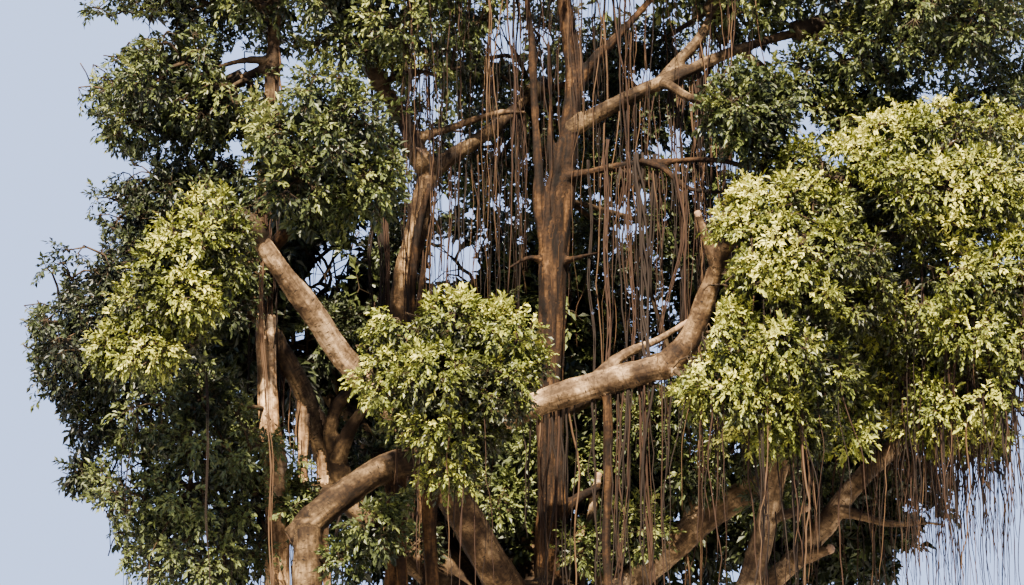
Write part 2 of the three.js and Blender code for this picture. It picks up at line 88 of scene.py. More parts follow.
# Each limb's route and its radius there, as in the solids
LIMBS = {
    "front_leader": [(-0.06, -0.24, 1.5, 0.205), (-0.56, -0.72, 2.45, 0.182), (-1.15, -1.26, 3.5, 0.16),
        (-1.06, -1.98, 3.86, 0.095)],
    "left_front_bough": [(-1.15, -1.2, 3.56, 0.142), (-2.01, -1.6, 4.44, 0.128), (-2.51, -2, 5.05, 0.118),
        (-2.94, -2.32, 5.68, 0.084)],
    "right_front_bough": [(-1.19, -1.2, 3.6, 0.15), (-0.17, -1.3, 4.05, 0.146), (0.7, -1.4, 4.33, 0.14),
        (1.27, -1.5, 4.44, 0.134)],
    "right_front_riser": [(1.23, -1.49, 4.44, 0.128), (1.47, -1.6, 4.68, 0.118), (1.62, -1.72, 5.08, 0.106),
        (1.73, -1.9, 5.45, 0.09), (1.86, -2.16, 5.72, 0.076)],
    "low_left_bough": [(-1.1, -1.18, 3.56, 0.15), (-1.56, -1.2, 3.44, 0.152), (-2.06, -1.3, 3.13, 0.15),
        (-2.46, -1.4, 2.83, 0.16)],
    "left_leader": [(-0.2, 0.08, 1.5, 0.18), (-1.27, 0.3, 2.42, 0.162), (-2.22, 0.3, 3.25, 0.142),
        (-2.72, 0.1, 4.45, 0.116), (-3.27, -0.2, 5.39, 0.106)],
    "left_high_leader": [(-3.25, -0.18, 5.3, 0.106), (-3.11, -0.2, 7.01, 0.086),
        (-3.05, -0.15, 8.75, 0.074)],
    "left_inner_branch": [(-3.2, -0.2, 5.74, 0.074), (-2.85, -0.5, 6.02, 0.07), (-2.43, -1.04, 6.3, 0.06)],
    "left_shoulder_bough": [(-3.19, -0.2, 6, 0.07), (-3.6, 0.02, 6.32, 0.056)],
    "left_high_bough": [(-3.075, -0.19, 8.04, 0.056), (-3.5, -0.09, 7.9, 0.044)],
    "left_outer_bough": [(-3.25, -0.19, 5.25, 0.095), (-4.02, -0.4, 5.22, 0.072)],
    "left_low_bough": [(-2.2, 0.29, 3.23, 0.115), (-3.02, -0.06, 3.34, 0.086)],
    "centre_left_leader": [(-0.12, 0.3, 1.5, 0.19), (-1.25, 0.5, 3.78, 0.168), (-1.58, 0.32, 5.62, 0.142),
        (-1.38, 0.22, 6.5, 0.116), (-1.31, 0.2, 7, 0.118)],
    "centre_left_high": [(-1.33, 0.2, 6.9, 0.104), (-1.6, 0.2, 7.5, 0.092), (-1.88, 0.16, 7.98, 0.08)],
    "centre_left_side": [(-1.33, 0.21, 6.88, 0.088), (-0.6, 0.4, 7.44, 0.078), (-0.13, 1, 8.05, 0.066)],
    "central_leader": [(0.08, 0.16, 1.5, 0.2), (0.08, -0.08, 2.9, 0.132), (0.07, -0.1, 4.59, 0.122),
        (0.13, -0.05, 6.18, 0.14), (0.29, 0, 7.2, 0.126), (0.37, 0, 7.93, 0.102), (0.25, 0, 8.9, 0.098),
        (0.24, 0, 9.36, 0.09)],
    "right_high_bough": [(0.32, -0.02, 7.38, 0.098), (1.34, -0.2, 7.86, 0.076), (2.24, 0, 8.31, 0.064),
        (2.96, 0.14, 8.56, 0.054)],
    "top_right_mid_bough": [(1.33, -0.19, 7.85, 0.066), (1.78, -0.1, 8.43, 0.06), (1.95, 0.04, 8.8, 0.054)],
    "centre_right_bough": [(1.32, -0.2, 7.85, 0.054), (1.88, -1.16, 7.3, 0.042)],
    "right_shoulder_bough": [(2.2, -0.01, 8.29, 0.052), (3.5, 0.4, 7.48, 0.042)],
    "right_upper_bough": [(0.22, -0.06, 6.78, 0.076), (1.6, -0.86, 6.81, 0.054),
        (2.56, -1.52, 6.44, 0.046)],
    "right_low_limb": [(0.22, -0.18, 1.6, 0.17), (1.25, -0.78, 1.72, 0.14), (1.93, -1.08, 2, 0.122),
        (2.26, -1.4, 2.86, 0.114), (2.4, -1.85, 3.6, 0.108), (2.43, -2.15, 4.01, 0.098)],
    "right_bough": [(0.24, 0.02, 1.7, 0.18), (1.01, -0.05, 2.35, 0.165), (1.57, -0.18, 2.81, 0.158),
        (2.33, -0.32, 3.35, 0.148), (3.59, -1.46, 4.44, 0.098)],
    "right_end_bough": [(0.26, -0.06, 1.4, 0.15), (1.65, -0.33, 1.76, 0.124), (2.68, -0.7, 2.56, 0.112),
        (3.14, -0.88, 3.16, 0.106), (3.72, -0.85, 3.72, 0.096), (4.15, -0.36, 4.2, 0.08)],
    "right_back_bough": [(0.08, -0.04, 4.12, 0.112), (1.12, 0.88, 4.73, 0.104), (2.28, 1.98, 5.2, 0.09)],
    "back_low_right_bough": [(0.18, 0.22, 1.6, 0.15), (0.56, 1, 2.9, 0.118), (2.26, 1.42, 3.33, 0.084)],
    "back_left_leader": [(-0.16, 0.3, 1.45, 0.185), (-1.3, 1.25, 2.9, 0.165), (-2.46, 2.05, 4.5, 0.12)],
    "back_centre_leader": [(0, 0.33, 1.45, 0.195), (-0.12, 1.5, 3.2, 0.172), (-0.22, 2.75, 4.7, 0.122)],
    "back_low_bough": [(0.04, 0.32, 1.5, 0.13), (0.13, 0.7, 1.9, 0.114), (0.21, 1.05, 2.2, 0.098)],
}
# Roots that stand on the ground, from the foot up
PROP_ROOTS = {
    "low_left_prop_root": [(-2.43, -1.4, 0, 0.24), (-2.43, -1.4, 0.9, 0.168), (-2.45, -1.4, 2.2, 0.162),
        (-2.46, -1.4, 2.86, 0.14)],
    "left_prop_root": [(-2.76, -0.4, 0, 0.2), (-2.8, -0.4, 1, 0.125), (-2.91, -0.35, 3.36, 0.13),
        (-3.08, -0.2, 5.18, 0.1)],
    "front_prop_root": [(-1.44, -1.1, 0, 0.12), (-1.47, -1.1, 1.4, 0.06), (-1.53, -1.19, 3.48, 0.056)],
    "right_prop_root": [(0.6, -1.35, 0, 0.12), (0.61, -1.35, 1.5, 0.058), (0.62, -1.39, 4.2, 0.05)],
}
# Broken side stubs, fused on the limbs
STUBS = {
    "right_front_riser": [(1.735, -1.88, 5.4, 0.054), (1.53, -1.99, 5.98, 0.042)],
    "right_low_limb": [(2.29, -1.45, 2.88, 0.046), (2.69, -1.51, 2.99, 0.036)],
    "right_end_bough": [(2.56, -0.64, 2.48, 0.066), (2.99, -1, 2.6, 0.054)],
    "low_left_bough": [(-2.36, -1.37, 2.9, 0.118), (-2.64, -1.42, 2.68, 0.108)],
}
# Each mass: its bough, its middle, its reach on each axis, its tone of painted light and shade and its lean
# in degrees
MASSES = {
    "front_left": ("left_front_bough", (-3.68, -2.65, 5.07), (0.65, 0.85, 1.25), SUNLIT, 33),
    "front_centre": ("front_leader", (-0.94, -2.65, 4.01), (1.05, 0.96, 1.18), SUNLIT, 0),
    "right_left": ("right_front_riser", (2.7, -2.7, 5.3), (1.25, 1.05, 1.15), SUNLIT, 0),
    "right_low": ("right_low_limb", (2.45, -2.75, 4.25), (1.3, 1.05, 1), SUNLIT, 0),
    "right_outer": ("right_bough", (4.2, -2.15, 4.85), (1.35, 1.25, 1.45), SUNLIT, 0),
    "right_upper": ("right_upper_bough", (3.85, -2, 6.05), (1.65, 1.3, 1.15), SUNLIT, 0),
    "centre_right": ("centre_right_bough", (2.2, -1.6, 7.13), (0.66, 0.68, 0.62), HALF_LIT, 0),
    "left_middle": ("left_inner_branch", (-2.3, -1.7, 6.68), (1, 1.02, 0.95), HALF_LIT, 0),
    "left_outer": ("left_outer_bough", (-4.7, -0.5, 4.95), (1.15, 1.4, 1.18), SHADE, 0),
    "left_low": ("left_low_bough", (-3.75, -0.5, 3.25), (1.25, 1.5, 1.48), SHADE, -20),
    "left_shoulder": ("left_shoulder_bough", (-4.1, 0.2, 6.45), (1.15, 1.35, 0.9), SHADE, 0),
    "left_high": ("left_high_bough", (-4.1, 0, 7.75), (1.25, 1.25, 0.85), HALF_LIT, 0),
    "top_left": ("left_high_leader", (-3.8, 0.2, 9.25), (1.7, 1.6, 1.1), HALF_LIT, 0),
    "top_centre_left": ("centre_left_high", (-1.75, 0, 9), (1.45, 1.5, 1.25), HALF_LIT, 0),
    "top_centre": ("central_leader", (0.15, 0.2, 10.25), (1.9, 1.8, 1.3), HALF_LIT, 0),
    "top_right_mid": ("top_right_mid_bough", (2.3, 0.2, 9.6), (1.4, 1.5, 1.15), HALF_LIT, 0),
    "top_right": ("right_high_bough", (4.35, -0.2, 8.85), (1.7, 1.65, 1.35), HALF_LIT, 0),
    "right_shoulder": ("right_shoulder_bough", (4.75, 0.3, 6.95), (1.4, 1.55, 1.25), SHADE, 0),
    "right_end": ("right_end_bough", (4.75, 0.3, 4.75), (1.3, 1.45, 1.4), SHADE, 0),
    "back_high": ("centre_left_side", (0, 2.5, 8.3), (2.4, 1.8, 1.7), SHADE, 0),
    "back_left": ("back_left_leader", (-2.9, 2.7, 5.7), (2, 1.7, 2.2), SHADE, 0),
    "back_centre": ("back_centre_leader", (-0.2, 3.7, 5.6), (1.9, 1.6, 2.1), SHADE, 0),
    "back_right": ("right_back_bough", (3.2, 2.7, 5.8), (2, 1.7, 2.2), SHADE, 0),
    "back_low": ("back_low_bough", (0.1, 2.4, 3.4), (3, 1.9, 1.7), SHADE, 0),
    "back_low_right": ("back_low_right_bough", (3.4, 1.5, 3.25), (1.5, 1.3, 1.2), SHADE, 0),
}
# Clumps of young shoots on the limbs: the middle of each, its radius and its tone of painted light and shade
SHOOTS = {
    "low_left": (-1.77, -1.7, 2.8, 0.42, HALF_LIT), "low_middle": (-1.58, -1.6, 3.06, 0.26, HALF_LIT),
    "low_edge": (-2.05, -1.6, 2.45, 0.3, HALF_LIT), "rise_low": (1.46, -1.9, 4.2, 0.26, SUNLIT),
    "inner_left": (-3.27, -1, 5.63, 0.4, HALF_LIT), "outer_left": (-3.36, -0.9, 5.24, 0.42, SHADE),
    "outer_left_b": (-3.62, -1.2, 4.13, 0.4, SHADE), "shoulder_right": (3.49, 0.1, 7.43, 0.55, HALF_LIT),
    "upper_right": (2.64, -1.7, 6.53, 0.34, SUNLIT), "upper_right_b": (2.38, -1.3, 6.79, 0.35, HALF_LIT),
    "low_a": (0.01, 0.6, 3.89, 0.42, HALF_LIT), "low_b": (0.64, 0.7, 3.62, 0.5, HALF_LIT),
    "low_c": (1.21, 0.3, 4.03, 0.5, HALF_LIT), "low_d": (1.59, -0.6, 3.45, 0.42, HALF_LIT),
    "low_e": (1.02, -0.3, 2.83, 0.45, HALF_LIT), "low_f": (0.43, -0.2, 2.67, 0.4, HALF_LIT),
    "low_g": (2.02, -0.7, 3.76, 0.45, HALF_LIT), "low_h": (1.63, 0.2, 4.3, 0.45, HALF_LIT),
    "low_i": (-0.49, 0.4, 3.2, 0.45, HALF_LIT), "low_j": (2.35, -0.9, 3.1, 0.36, HALF_LIT),
    "low_k": (3.08, -0.3, 3.15, 0.42, SHADE), "low_l": (0.88, 0.8, 4.37, 0.4, SHADE),
    "left_a": (-2.39, 0.9, 3.92, 0.42, SHADE), "left_b": (-1.67, 0.9, 6.14, 0.4, SHADE),
    "left_c": (-2.5, 1.2, 5.24, 0.5, SHADE), "left_d": (-2.76, -0.3, 3.15, 0.4, HALF_LIT),
    "left_edge": (-4.85, -0.7, 3.97, 0.36, SHADE), "left_edge_b": (-4.98, -0.6, 3.45, 0.3, SHADE),
    "top_right_a": (2.93, 0.1, 7.99, 0.42, HALF_LIT), "top_right_b": (3.46, 0.4, 7.91, 0.45, SHADE),
    "top_right_c": (3.99, 0.3, 7.81, 0.45, SHADE), "top_right_d": (5.4, 0.3, 7.97, 0.45, SHADE),
    "gap_a": (2.04, 0.4, 7.45, 0.4, HALF_LIT), "gap_b": (2.29, 0.2, 6.7, 0.4, HALF_LIT),
    "low_m": (-1.37, 0.2, 2.69, 0.3, SHADE), "low_n": (-2.16, 0.3, 3.41, 0.34, SHADE),
    "behind_a": (0.83, 1, 8.35, 0.42, SHADE), "behind_b": (1.36, 1.2, 8.72, 0.45, SHADE),
    "behind_c": (1.18, 1, 7.73, 0.45, SHADE), "behind_d": (1.74, 0.9, 7.95, 0.42, SHADE),
    "behind_e": (0.82, 1.1, 7.09, 0.42, SHADE), "behind_f": (1.41, 1, 6.88, 0.45, SHADE),
    "behind_g": (1.9, 0.8, 7.14, 0.4, SHADE), "behind_h": (-0.74, 1, 8.47, 0.4, SHADE),
    "behind_i": (1.72, 0.9, 6.14, 0.45, SHADE), "behind_j": (1.15, 1.2, 6.08, 0.45, SHADE),
    "left_far": (-5.52, -0.6, 4.74, 0.3, SHADE), "left_far_b": (-5.58, -0.6, 5.01, 0.24, SHADE),
    "behind_k": (1.31, 0.9, 6.44, 0.42, SHADE), "behind_l": (0.68, 1.2, 6.5, 0.4, SHADE),
}
TUFTS = {f"shoots_{name}": shape for name, shape in SHOOTS.items()}

# Limbs too slight for solids of their own: the limb that each is part of, and its route
BRANCHLETS = {
    "upper_fork": ("central_leader", [(0.37, 0, 7.85, 0.075), (0.55, -0.02, 8.12, 0.066),
        (0.87, -0.05, 8.45, 0.056), (1.24, -0.1, 8.85, 0.046), (1.5, -0.15, 9.13, 0.036)]),
    "side_fork": ("centre_left_high", [(-1.46, 0.2, 7.3, 0.045), (-1.12, 0.15, 7.4, 0.04),
        (-0.85, 0.1, 7.49, 0.036), (-0.53, 0, 7.56, 0.032), (-0.2, -0.05, 7.54, 0.02)]),
    "low_side": ("centre_left_high", [(-1.35, 0.15, 6.94, 0.075), (-1.5, 0, 7.09, 0.062),
        (-1.64, -0.15, 7.18, 0.048)]),
    "thin_branch": ("right_upper_bough", [(1.05, -0.55, 6.86, 0.04), (1.3, -0.68, 6.74, 0.038),
        (1.58, -0.75, 6.5, 0.034), (2.05, -0.9, 6.41, 0.022)]),
    "inner_stem": ("left_leader", [(-2.21, 0.25, 3.28, 0.13), (-2.32, 0.1, 3.64, 0.105),
        (-2.39, 0, 3.96, 0.08), (-2.27, -0.1, 4.22, 0.068), (-2.06, -0.2, 4.4, 0.055)]),
    "torn_stub": ("left_leader", [(-2.28, 0.08, 3.65, 0.095), (-2.12, -0.1, 3.95, 0.075),
        (-1.95, -0.2, 4.21, 0.05)]),
    "broken_branch": ("right_bough", [(1.56, -0.18, 2.83, 0.075), (1.64, -0.3, 3.26, 0.06),
        (1.84, -0.45, 3.64, 0.05), (2.11, -0.6, 3.88, 0.035)]),
    "torn_branch": ("right_front_bough", [(0.47, -1.3, 4.27, 0.06), (0.78, -1.15, 4.59, 0.052),
        (1.15, -1.05, 4.78, 0.045), (1.53, -1, 5.01, 0.028)]),
    "dead_branch": ("right_end_bough", [(3.05, -0.88, 3.0, 0.05), (3.48, -1, 2.89, 0.04),
        (3.83, -1.1, 2.86, 0.034), (4.13, -1.15, 2.83, 0.02)]),
    "left_upper": ("left_high_leader", [(-3.08, -0.2, 8.11, 0.042), (-3.36, -0.3, 8.09, 0.034),
        (-3.63, -0.4, 7.98, 0.028), (-3.94, -0.5, 7.8, 0.018)]),
    "pale_branch": ("central_leader", [(0.15, -0.06, 5.81, 0.038), (0.39, -0.3, 5.81, 0.03),
        (0.6, -0.5, 5.84, 0.018)]),
    "left_branch": ("central_leader", [(0.1, -0.06, 5.79, 0.038), (-0.16, -0.2, 5.84, 0.03),
        (-0.4, -0.3, 5.7, 0.018)]),
    "low_fork": ("central_leader", [(0.09, -0.08, 2.95, 0.075), (0.33, -0.1, 3.15, 0.06),
        (0.6, -0.2, 3.3, 0.042)]),
    "pale_snag": ("right_bough", [(0.72, -0.02, 2.12, 0.08), (0.47, 0, 2.62, 0.062),
        (0.51, -0.05, 3.06, 0.055), (0.59, -0.15, 3.46, 0.04)]),
}

# Slighter roots: the prop root, limb or bundle that each is part of, and its route
SIDE_ROOTS = {
    "left_root_a": ("left_prop_root", [(-2.62, 0.1, 0, 0.1), (-2.6, 0.1, 1.2, 0.055),
        (-2.64, 0.1, 3.4, 0.062), (-2.69, 0.12, 4.42, 0.07)]),
    "left_root_b": ("left_prop_root", [(-2.4, 0.2, 0, 0.09), (-2.38, 0.2, 1.3, 0.05),
        (-2.43, 0.2, 3.3, 0.055), (-2.52, 0.2, 4.15, 0.065)]),
    "front_root_a": ("front_prop_root", [(-1.6, -1.02, 0, 0.09), (-1.6, -1.04, 1.3, 0.05),
        (-1.64, -1.15, 3.5, 0.055)]),
    "front_root_b": ("front_prop_root", [(-1.13, -1.1, 0, 0.1), (-1.14, -1.05, 1.2, 0.07),
        (-1.19, -1.08, 2.6, 0.075), (-1.24, -1.16, 3.4, 0.08)]),
    "leader_root_a": ("central_leader_roots", [(0.12, -0.14, 2.19, 0.05), (0.01, -0.16, 4.03, 0.048),
        (0.05, -0.14, 5.37, 0.05), (-0.04, -0.14, 6.51, 0.05), (-0.12, -0.15, 7.66, 0.045),
        (-0.19, -0.15, 8.95, 0.04)]),
    "leader_root_b": ("central_leader_roots", [(0.14, -0.18, 5.14, 0.03), (0.13, -0.14, 6.16, 0.035),
        (0.1, -0.1, 6.97, 0.035), (0.08, -0.08, 7.68, 0.03), (0.05, -0.08, 8.38, 0.025)]),
    "leader_root_c": ("central_leader_roots", [(0.12, -0.16, 2.19, 0.035), (0.07, -0.18, 3.16, 0.035),
        (0.05, -0.17, 4.25, 0.035), (0.01, -0.16, 5.37, 0.035), (0.06, -0.14, 6.39, 0.035),
        (0.2, -0.1, 7.21, 0.03)]),
    "leaning_root_a": ("leaning_roots", [(-1.33, 0.2, 2.2, 0.035), (-1.48, 0.2, 4.3, 0.035),
        (-1.47, 0.15, 5.42, 0.035), (-1.4, 0.1, 6.1, 0.032), (-1.29, 0.1, 6.73, 0.025)]),
    "leaning_root_b": ("leaning_roots", [(-1.19, 0.1, 2.2, 0.03), (-1.37, 0.1, 4.28, 0.03),
        (-1.39, 0.05, 5.4, 0.03), (-1.3, 0.05, 6.09, 0.026), (-1.22, 0.05, 6.66, 0.02)]),
    "inner_root": ("back_low_right_bough", [(0.36, 0.55, 0, 0.1), (0.37, 0.55, 2.2, 0.06),
        (0.45, 0.6, 2.8, 0.07), (0.6, 0.95, 3.0, 0.06)]),
}

# Numbers and shapes


def norm(vectors):
    """The length of each vector."""
    return np.linalg.norm(vectors, axis=-1)


def unit(vectors):
    return vectors / np.maximum(np.linalg.norm(vectors, axis=-1, keepdims=True), 1e-9)


# Large odd numbers that mix a cell's place and a seed into one random value
AXIS_MIXERS = np.array([73856093, 19349663, 83492791], np.uint64)
SEED_MIXER = 668265263
ROUNDS = [(15, 2246822519), (13, 3266489917), (16, 1)]
LOW_BITS = np.uint64(0xFFFFFFFF)


def value_noise(points, seed=0):
    """Smooth random values from -1 to 1, with one cell to each unit of length."""
    cell = np.floor(points).astype(np.int64)
    part = points - cell
    part = part * part * (3 - 2 * part)
    total = np.zeros(points.shape[:-1])
    for corner in np.ndindex(2, 2, 2):
        mixed = np.bitwise_xor.reduce((cell + corner).astype(np.uint64) * AXIS_MIXERS, axis=-1)
        mixed = (mixed ^ np.uint64(seed * SEED_MIXER)) & LOW_BITS
        for shift, mixer in ROUNDS:
            mixed = (mixed ^ mixed >> np.uint64(shift)) * np.uint64(mixer) & LOW_BITS
        weight = np.where(corner, part, 1 - part).prod(-1)
        total += weight * (mixed.astype(float) / 2**31 - 1)
    return total


def smooth_route(route, step):
    """Points and radii along a centripetal spline through a route's points."""
    route = np.array(route, float)
    places = route[:, :3]
    ends = np.vstack([2 * places[0] - places[1], places, 2 * places[-1] - places[-2]])
    points, radii = [], []
    for span in range(len(places) - 1):
        p0, p1, p2, p3 = ends[span:span + 4]
        d0, d1, d2 = (math.sqrt(math.dist(a, b)) for a, b in ((p0, p1), (p1, p2), (p2, p3)))
        m1 = ((p1 - p0) / d0 - (p2 - p0) / (d0 + d1) + (p2 - p1) / d1) * d1
        m2 = ((p2 - p1) / d1 - (p3 - p1) / (d1 + d2) + (p3 - p2) / d2) * d1
        count = max(2, math.ceil(math.dist(p1, p2) / step))
        last = span == len(places) - 2
        t = np.linspace(0, 1, count, endpoint=False)[:, None]
        t = np.vstack([t, [[1.0]]]) if last else t
        points.append((2 * t**3 - 3 * t**2 + 1) * p1 + (t**3 - 2 * t**2 + t) * m1
                      + (3 * t**2 - 2 * t**3) * p2 + (t**3 - t**2) * m2)
        radii.append(route[span, 3] + t[:, 0] * (route[span + 1, 3] - route[span, 3]))
    return np.vstack(points), np.concatenate(radii)


def bent(start, middle, end, t):
    """Points at t, from 0 to 1, on the curve from start to end that middle draws aside."""
    return (1 - t) ** 2 * start + 2 * t * (1 - t) * middle + t**2 * end


def frames(paths):
    """Unit vectors along, across and beside each path, at each of its points."""
    along = unit(np.gradient(paths, axis=1))
    across = np.linalg.svd(along, full_matrices=True)[2][:, -1:, :]
    across = unit(across - along * (along * across).sum(-1, keepdims=True))
    return along, across, np.cross(along, across)


def circle(sides):
    """Angles evenly round a circle."""
    return np.linspace(0, 2 * np.pi, sides, endpoint=False)


def tube_faces(rings, sides, pointed=False):
    """Triangles of a tube from ring to ring, closed at its start and at its end or point."""
    side = np.arange(sides)
    after = (side + 1) % sides
    start = np.arange(rings - 1 - pointed)[:, None] * sides
    quads = np.stack([start + side, start + after, start + after + sides, start + side + sides], -1)
    quads = quads.reshape(-1, 4)
    fan = np.arange(1, sides - 1)
    last = (rings - 1) * sides
    if pointed:
        end = np.stack([last - sides + side, last - sides + after, last + 0 * side], -1)
    else:
        end = np.stack([last + 0 * fan, last + fan, last + fan + 1], -1)
    return np.vstack([quads[:, [0, 1, 2]], quads[:, [0, 2, 3]],
                      np.stack([0 * fan, fan + 1, fan], -1), end])


def tubes(paths, radii, sides, pointed=False, swell=None):
    """Vertices and triangles of tubes along equally long paths, closed at both ends."""
    count, rings = radii.shape
    _, across, beside = frames(paths)
    turn = circle(sides)[:, None]
    reach = radii[:, :, None, None] * (1 if swell is None else swell[..., None])
    skin = paths[:, :, None] + reach * (np.cos(turn) * across[:, :, None]
                                        + np.sin(turn) * beside[:, :, None])
    if pointed:
        skin = np.concatenate([skin[:, :-1].reshape(count, -1, 3), paths[:, -1:]], 1)
    else:
        skin = skin.reshape(count, -1, 3)
    faces = tube_faces(rings, sides, pointed) + np.arange(count)[:, None, None] * skin.shape[1]
    return skin.reshape(-1, 3), faces.reshape(-1, 3)


def merged(parts):
    """One pair of vertices and faces from several pairs."""
    vertices, faces, start = [], [], 0
    for part_vertices, part_faces in parts:
        vertices.append(part_vertices)
        faces.append(part_faces + start)
        start += len(part_vertices)
    return np.vstack(vertices), np.vstack(faces)


def add_object(name, data):
    """A new object in the scene."""
    placed = bpy.data.objects.new(name, data)
    bpy.context.scene.collection.objects.link(placed)
    return placed


def mesh_piece(name, vertices, faces, materials, slot, nodes, shades=None, smooth=False):
    """A piece of the tree from arrays, standing for the named nodes."""
    mesh = bpy.data.meshes.new(name)
    count, corners = faces.shape
    mesh.vertices.add(len(vertices))
    mesh.vertices.foreach_set("co", vertices.astype(np.float32).ravel())
    mesh.loops.add(count * corners)
    mesh.loops.foreach_set("vertex_index", faces.astype(np.int32).ravel())
    mesh.polygons.add(count)
    mesh.polygons.foreach_set("loop_start", np.arange(0, count * corners, corners, dtype=np.int32))
    mesh.polygons.foreach_set("use_smooth", np.full(count, smooth))
    if shades is not None:
        mesh.polygons.foreach_set("material_index", shades.astype(np.int32))
    mesh.update(calc_edges=True)
    for material in materials:
        mesh.materials.append(material)
    piece = add_object(name, mesh)
    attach(piece, "root")
    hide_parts(*nodes)
    return piece


# Materials


def new_material(name, roughness, gloss):
    """A material and its shader."""
    material = bpy.data.materials.new(name)
    material.use_nodes = True
    shader = material.node_tree.nodes["Principled BSDF"]
    shader.inputs["Roughness"].default_value = roughness
    shader.inputs["Specular IOR Level"].default_value = gloss
    return material, shader


def plain_material(name, colour, roughness, gloss=0.5):
    """One colour all over, as for leaves, twigs and thin roots."""
    material, shader = new_material(name, roughness, gloss)
    shader.inputs["Base Color"].default_value = (*colour, 1)
    material.diffuse_color = (*colour, 1)
    return material


def noise_node(nodes, links, vector, scale, detail, stretch=(1, 1, 1)):
    """A noise pattern on a vector stretched by three factors."""
    mapping = nodes.new("ShaderNodeMapping")
    mapping.inputs["Scale"].default_value = stretch
    links.new(vector, mapping.inputs["Vector"])
    noise = nodes.new("ShaderNodeTexNoise")
    noise.inputs["Scale"].default_value = scale
    noise.inputs["Detail"].default_value = detail
    noise.inputs["Roughness"].default_value = 0.6
    links.new(mapping.outputs["Vector"], noise.inputs["Vector"])
    return noise.outputs["Fac"]


def ramp_node(nodes, links, value, stops):
    """Colours by value, from stops that each give a value and its colour."""
    ramp = nodes.new("ShaderNodeValToRGB")
    elements = ramp.color_ramp.elements
    while len(elements) < len(stops):
        elements.new(0.5)
    for element, (place, colour) in zip(elements, stops):
        element.position = place
        element.color = (*colour, 1)
    links.new(value, ramp.inputs["Fac"])
    return ramp.outputs["Color"]


def mix_node(nodes, links, factor, first, second, kind="MIX"):
    mix = nodes.new("ShaderNodeMix")
    mix.data_type = "RGBA"
    mix.blend_type = kind
    if isinstance(factor, float):
        mix.inputs[0].default_value = factor
    else:
        links.new(factor, mix.inputs[0])
    links.new(first, mix.inputs[6])
    links.new(second, mix.inputs[7])
    return mix.outputs[2]


def bump_node(nodes, links, height, strength, distance, normal=None):
    """Relief by height, on top of another relief's normal if there is one."""
    bump = nodes.new("ShaderNodeBump")
    bump.inputs["Strength"].default_value = strength
    bump.inputs["Distance"].default_value = distance
    links.new(height, bump.inputs["Height"])
    if normal:
        links.new(normal, bump.inputs["Normal"])
    return bump.outputs["Normal"]


BARK_GLOSS = 0.12
FLECK_EDGE = 0.06
FINE_TONES = [(0.4, (0.62, 0.6, 0.58)), (0.6, (1.2, 1.2, 1.2))]


def bark_material(name, blotches, fleck, fleck_share, streaks, roughness, relief, plain=False):
    """Bark with soft blotches, dark flecks across the grain and streaks along it.
    The grain attribute holds each point's place in its own limb's straight frame.
    A plain one, for slight branches, goes by the place in the tree."""
    material, shader = new_material(name, roughness, BARK_GLOSS)
    nodes, links = material.node_tree.nodes, material.node_tree.links
    if plain:
        vector = nodes.new("ShaderNodeTexCoord").outputs["Object"]
    else:
        grain = nodes.new("ShaderNodeAttribute")
        grain.attribute_name = "grain"
        vector = grain.outputs["Vector"]
    broad = noise_node(nodes, links, vector, 3.2, 5)
    colour = ramp_node(nodes, links, broad, blotches)
    fine = noise_node(nodes, links, vector, 26, 6)
    tone = ramp_node(nodes, links, fine, FINE_TONES)
    colour = mix_node(nodes, links, 1.0, colour, tone, "MULTIPLY")
    along = noise_node(nodes, links, vector, 1, 5, (24, 24, 1.6))
    streak = ramp_node(nodes, links, along, streaks)
    colour = mix_node(nodes, links, 1.0, colour, streak, "MULTIPLY")
    across = noise_node(nodes, links, vector, 1, 3, (14, 14, 60))
    mark = ramp_node(nodes, links, across,
                     [(fleck_share, (0, 0, 0)), (fleck_share + FLECK_EDGE, (1, 1, 1))])
    dark = nodes.new("ShaderNodeRGB")
    dark.outputs[0].default_value = (*fleck, 1)
    colour = mix_node(nodes, links, mark, colour, dark.outputs[0])
    links.new(colour, shader.inputs["Base Color"])
    rough = noise_node(nodes, links, vector, 60, 5, (1, 1, 0.6))
    normal = bump_node(nodes, links, rough, 0.7, relief)
    normal = bump_node(nodes, links, along, 0.5, 1.6 * relief, normal)
    links.new(normal, shader.inputs["Normal"])
    return material


FLECK = (0.008, 0.005, 0.003)
SHADED_FLECK = (0.005, 0.003, 0.0018)
ROOT_FLECK = (0.004, 0.0024, 0.0015)
PALE_FLECK = (0.01, 0.006, 0.003)
STREAKS = [(0.38, (0.6, 0.57, 0.53)), (0.58, (1.15, 1.15, 1.12))]
SHADED_STREAKS = [(0.38, (0.55, 0.52, 0.48)), (0.58, (1.2, 1.2, 1.16))]
ROOT_STREAKS = [(0.4, (0.35, 0.3, 0.27)), (0.6, (1.45, 1.4, 1.35))]
PALE_STREAKS = [(0.4, (0.42, 0.38, 0.35)), (0.6, (1.25, 1.22, 1.18))]
FAINT_STREAKS = [(0.35, (0.8, 0.78, 0.76)), (0.6, (1.05, 1.05, 1.05))]
BARK = bark_material(
    "bark",
    [(0.36, (0.0135, 0.0068, 0.003)), (0.5, (0.042, 0.0235, 0.0108)), (0.66, (0.185, 0.115, 0.056))],
    FLECK, 0.6, STREAKS, 0.8, 0.008)
# Painted sunlight: bark of the limbs in the sun, painted paler than the rest
SUNNY_BARK = bark_material(
    "sunny_bark",
    [(0.36, (0.026, 0.0145, 0.007)), (0.5, (0.09, 0.056, 0.029)), (0.64, (0.3, 0.2, 0.112))],
    FLECK, 0.6, STREAKS, 0.8, 0.008)
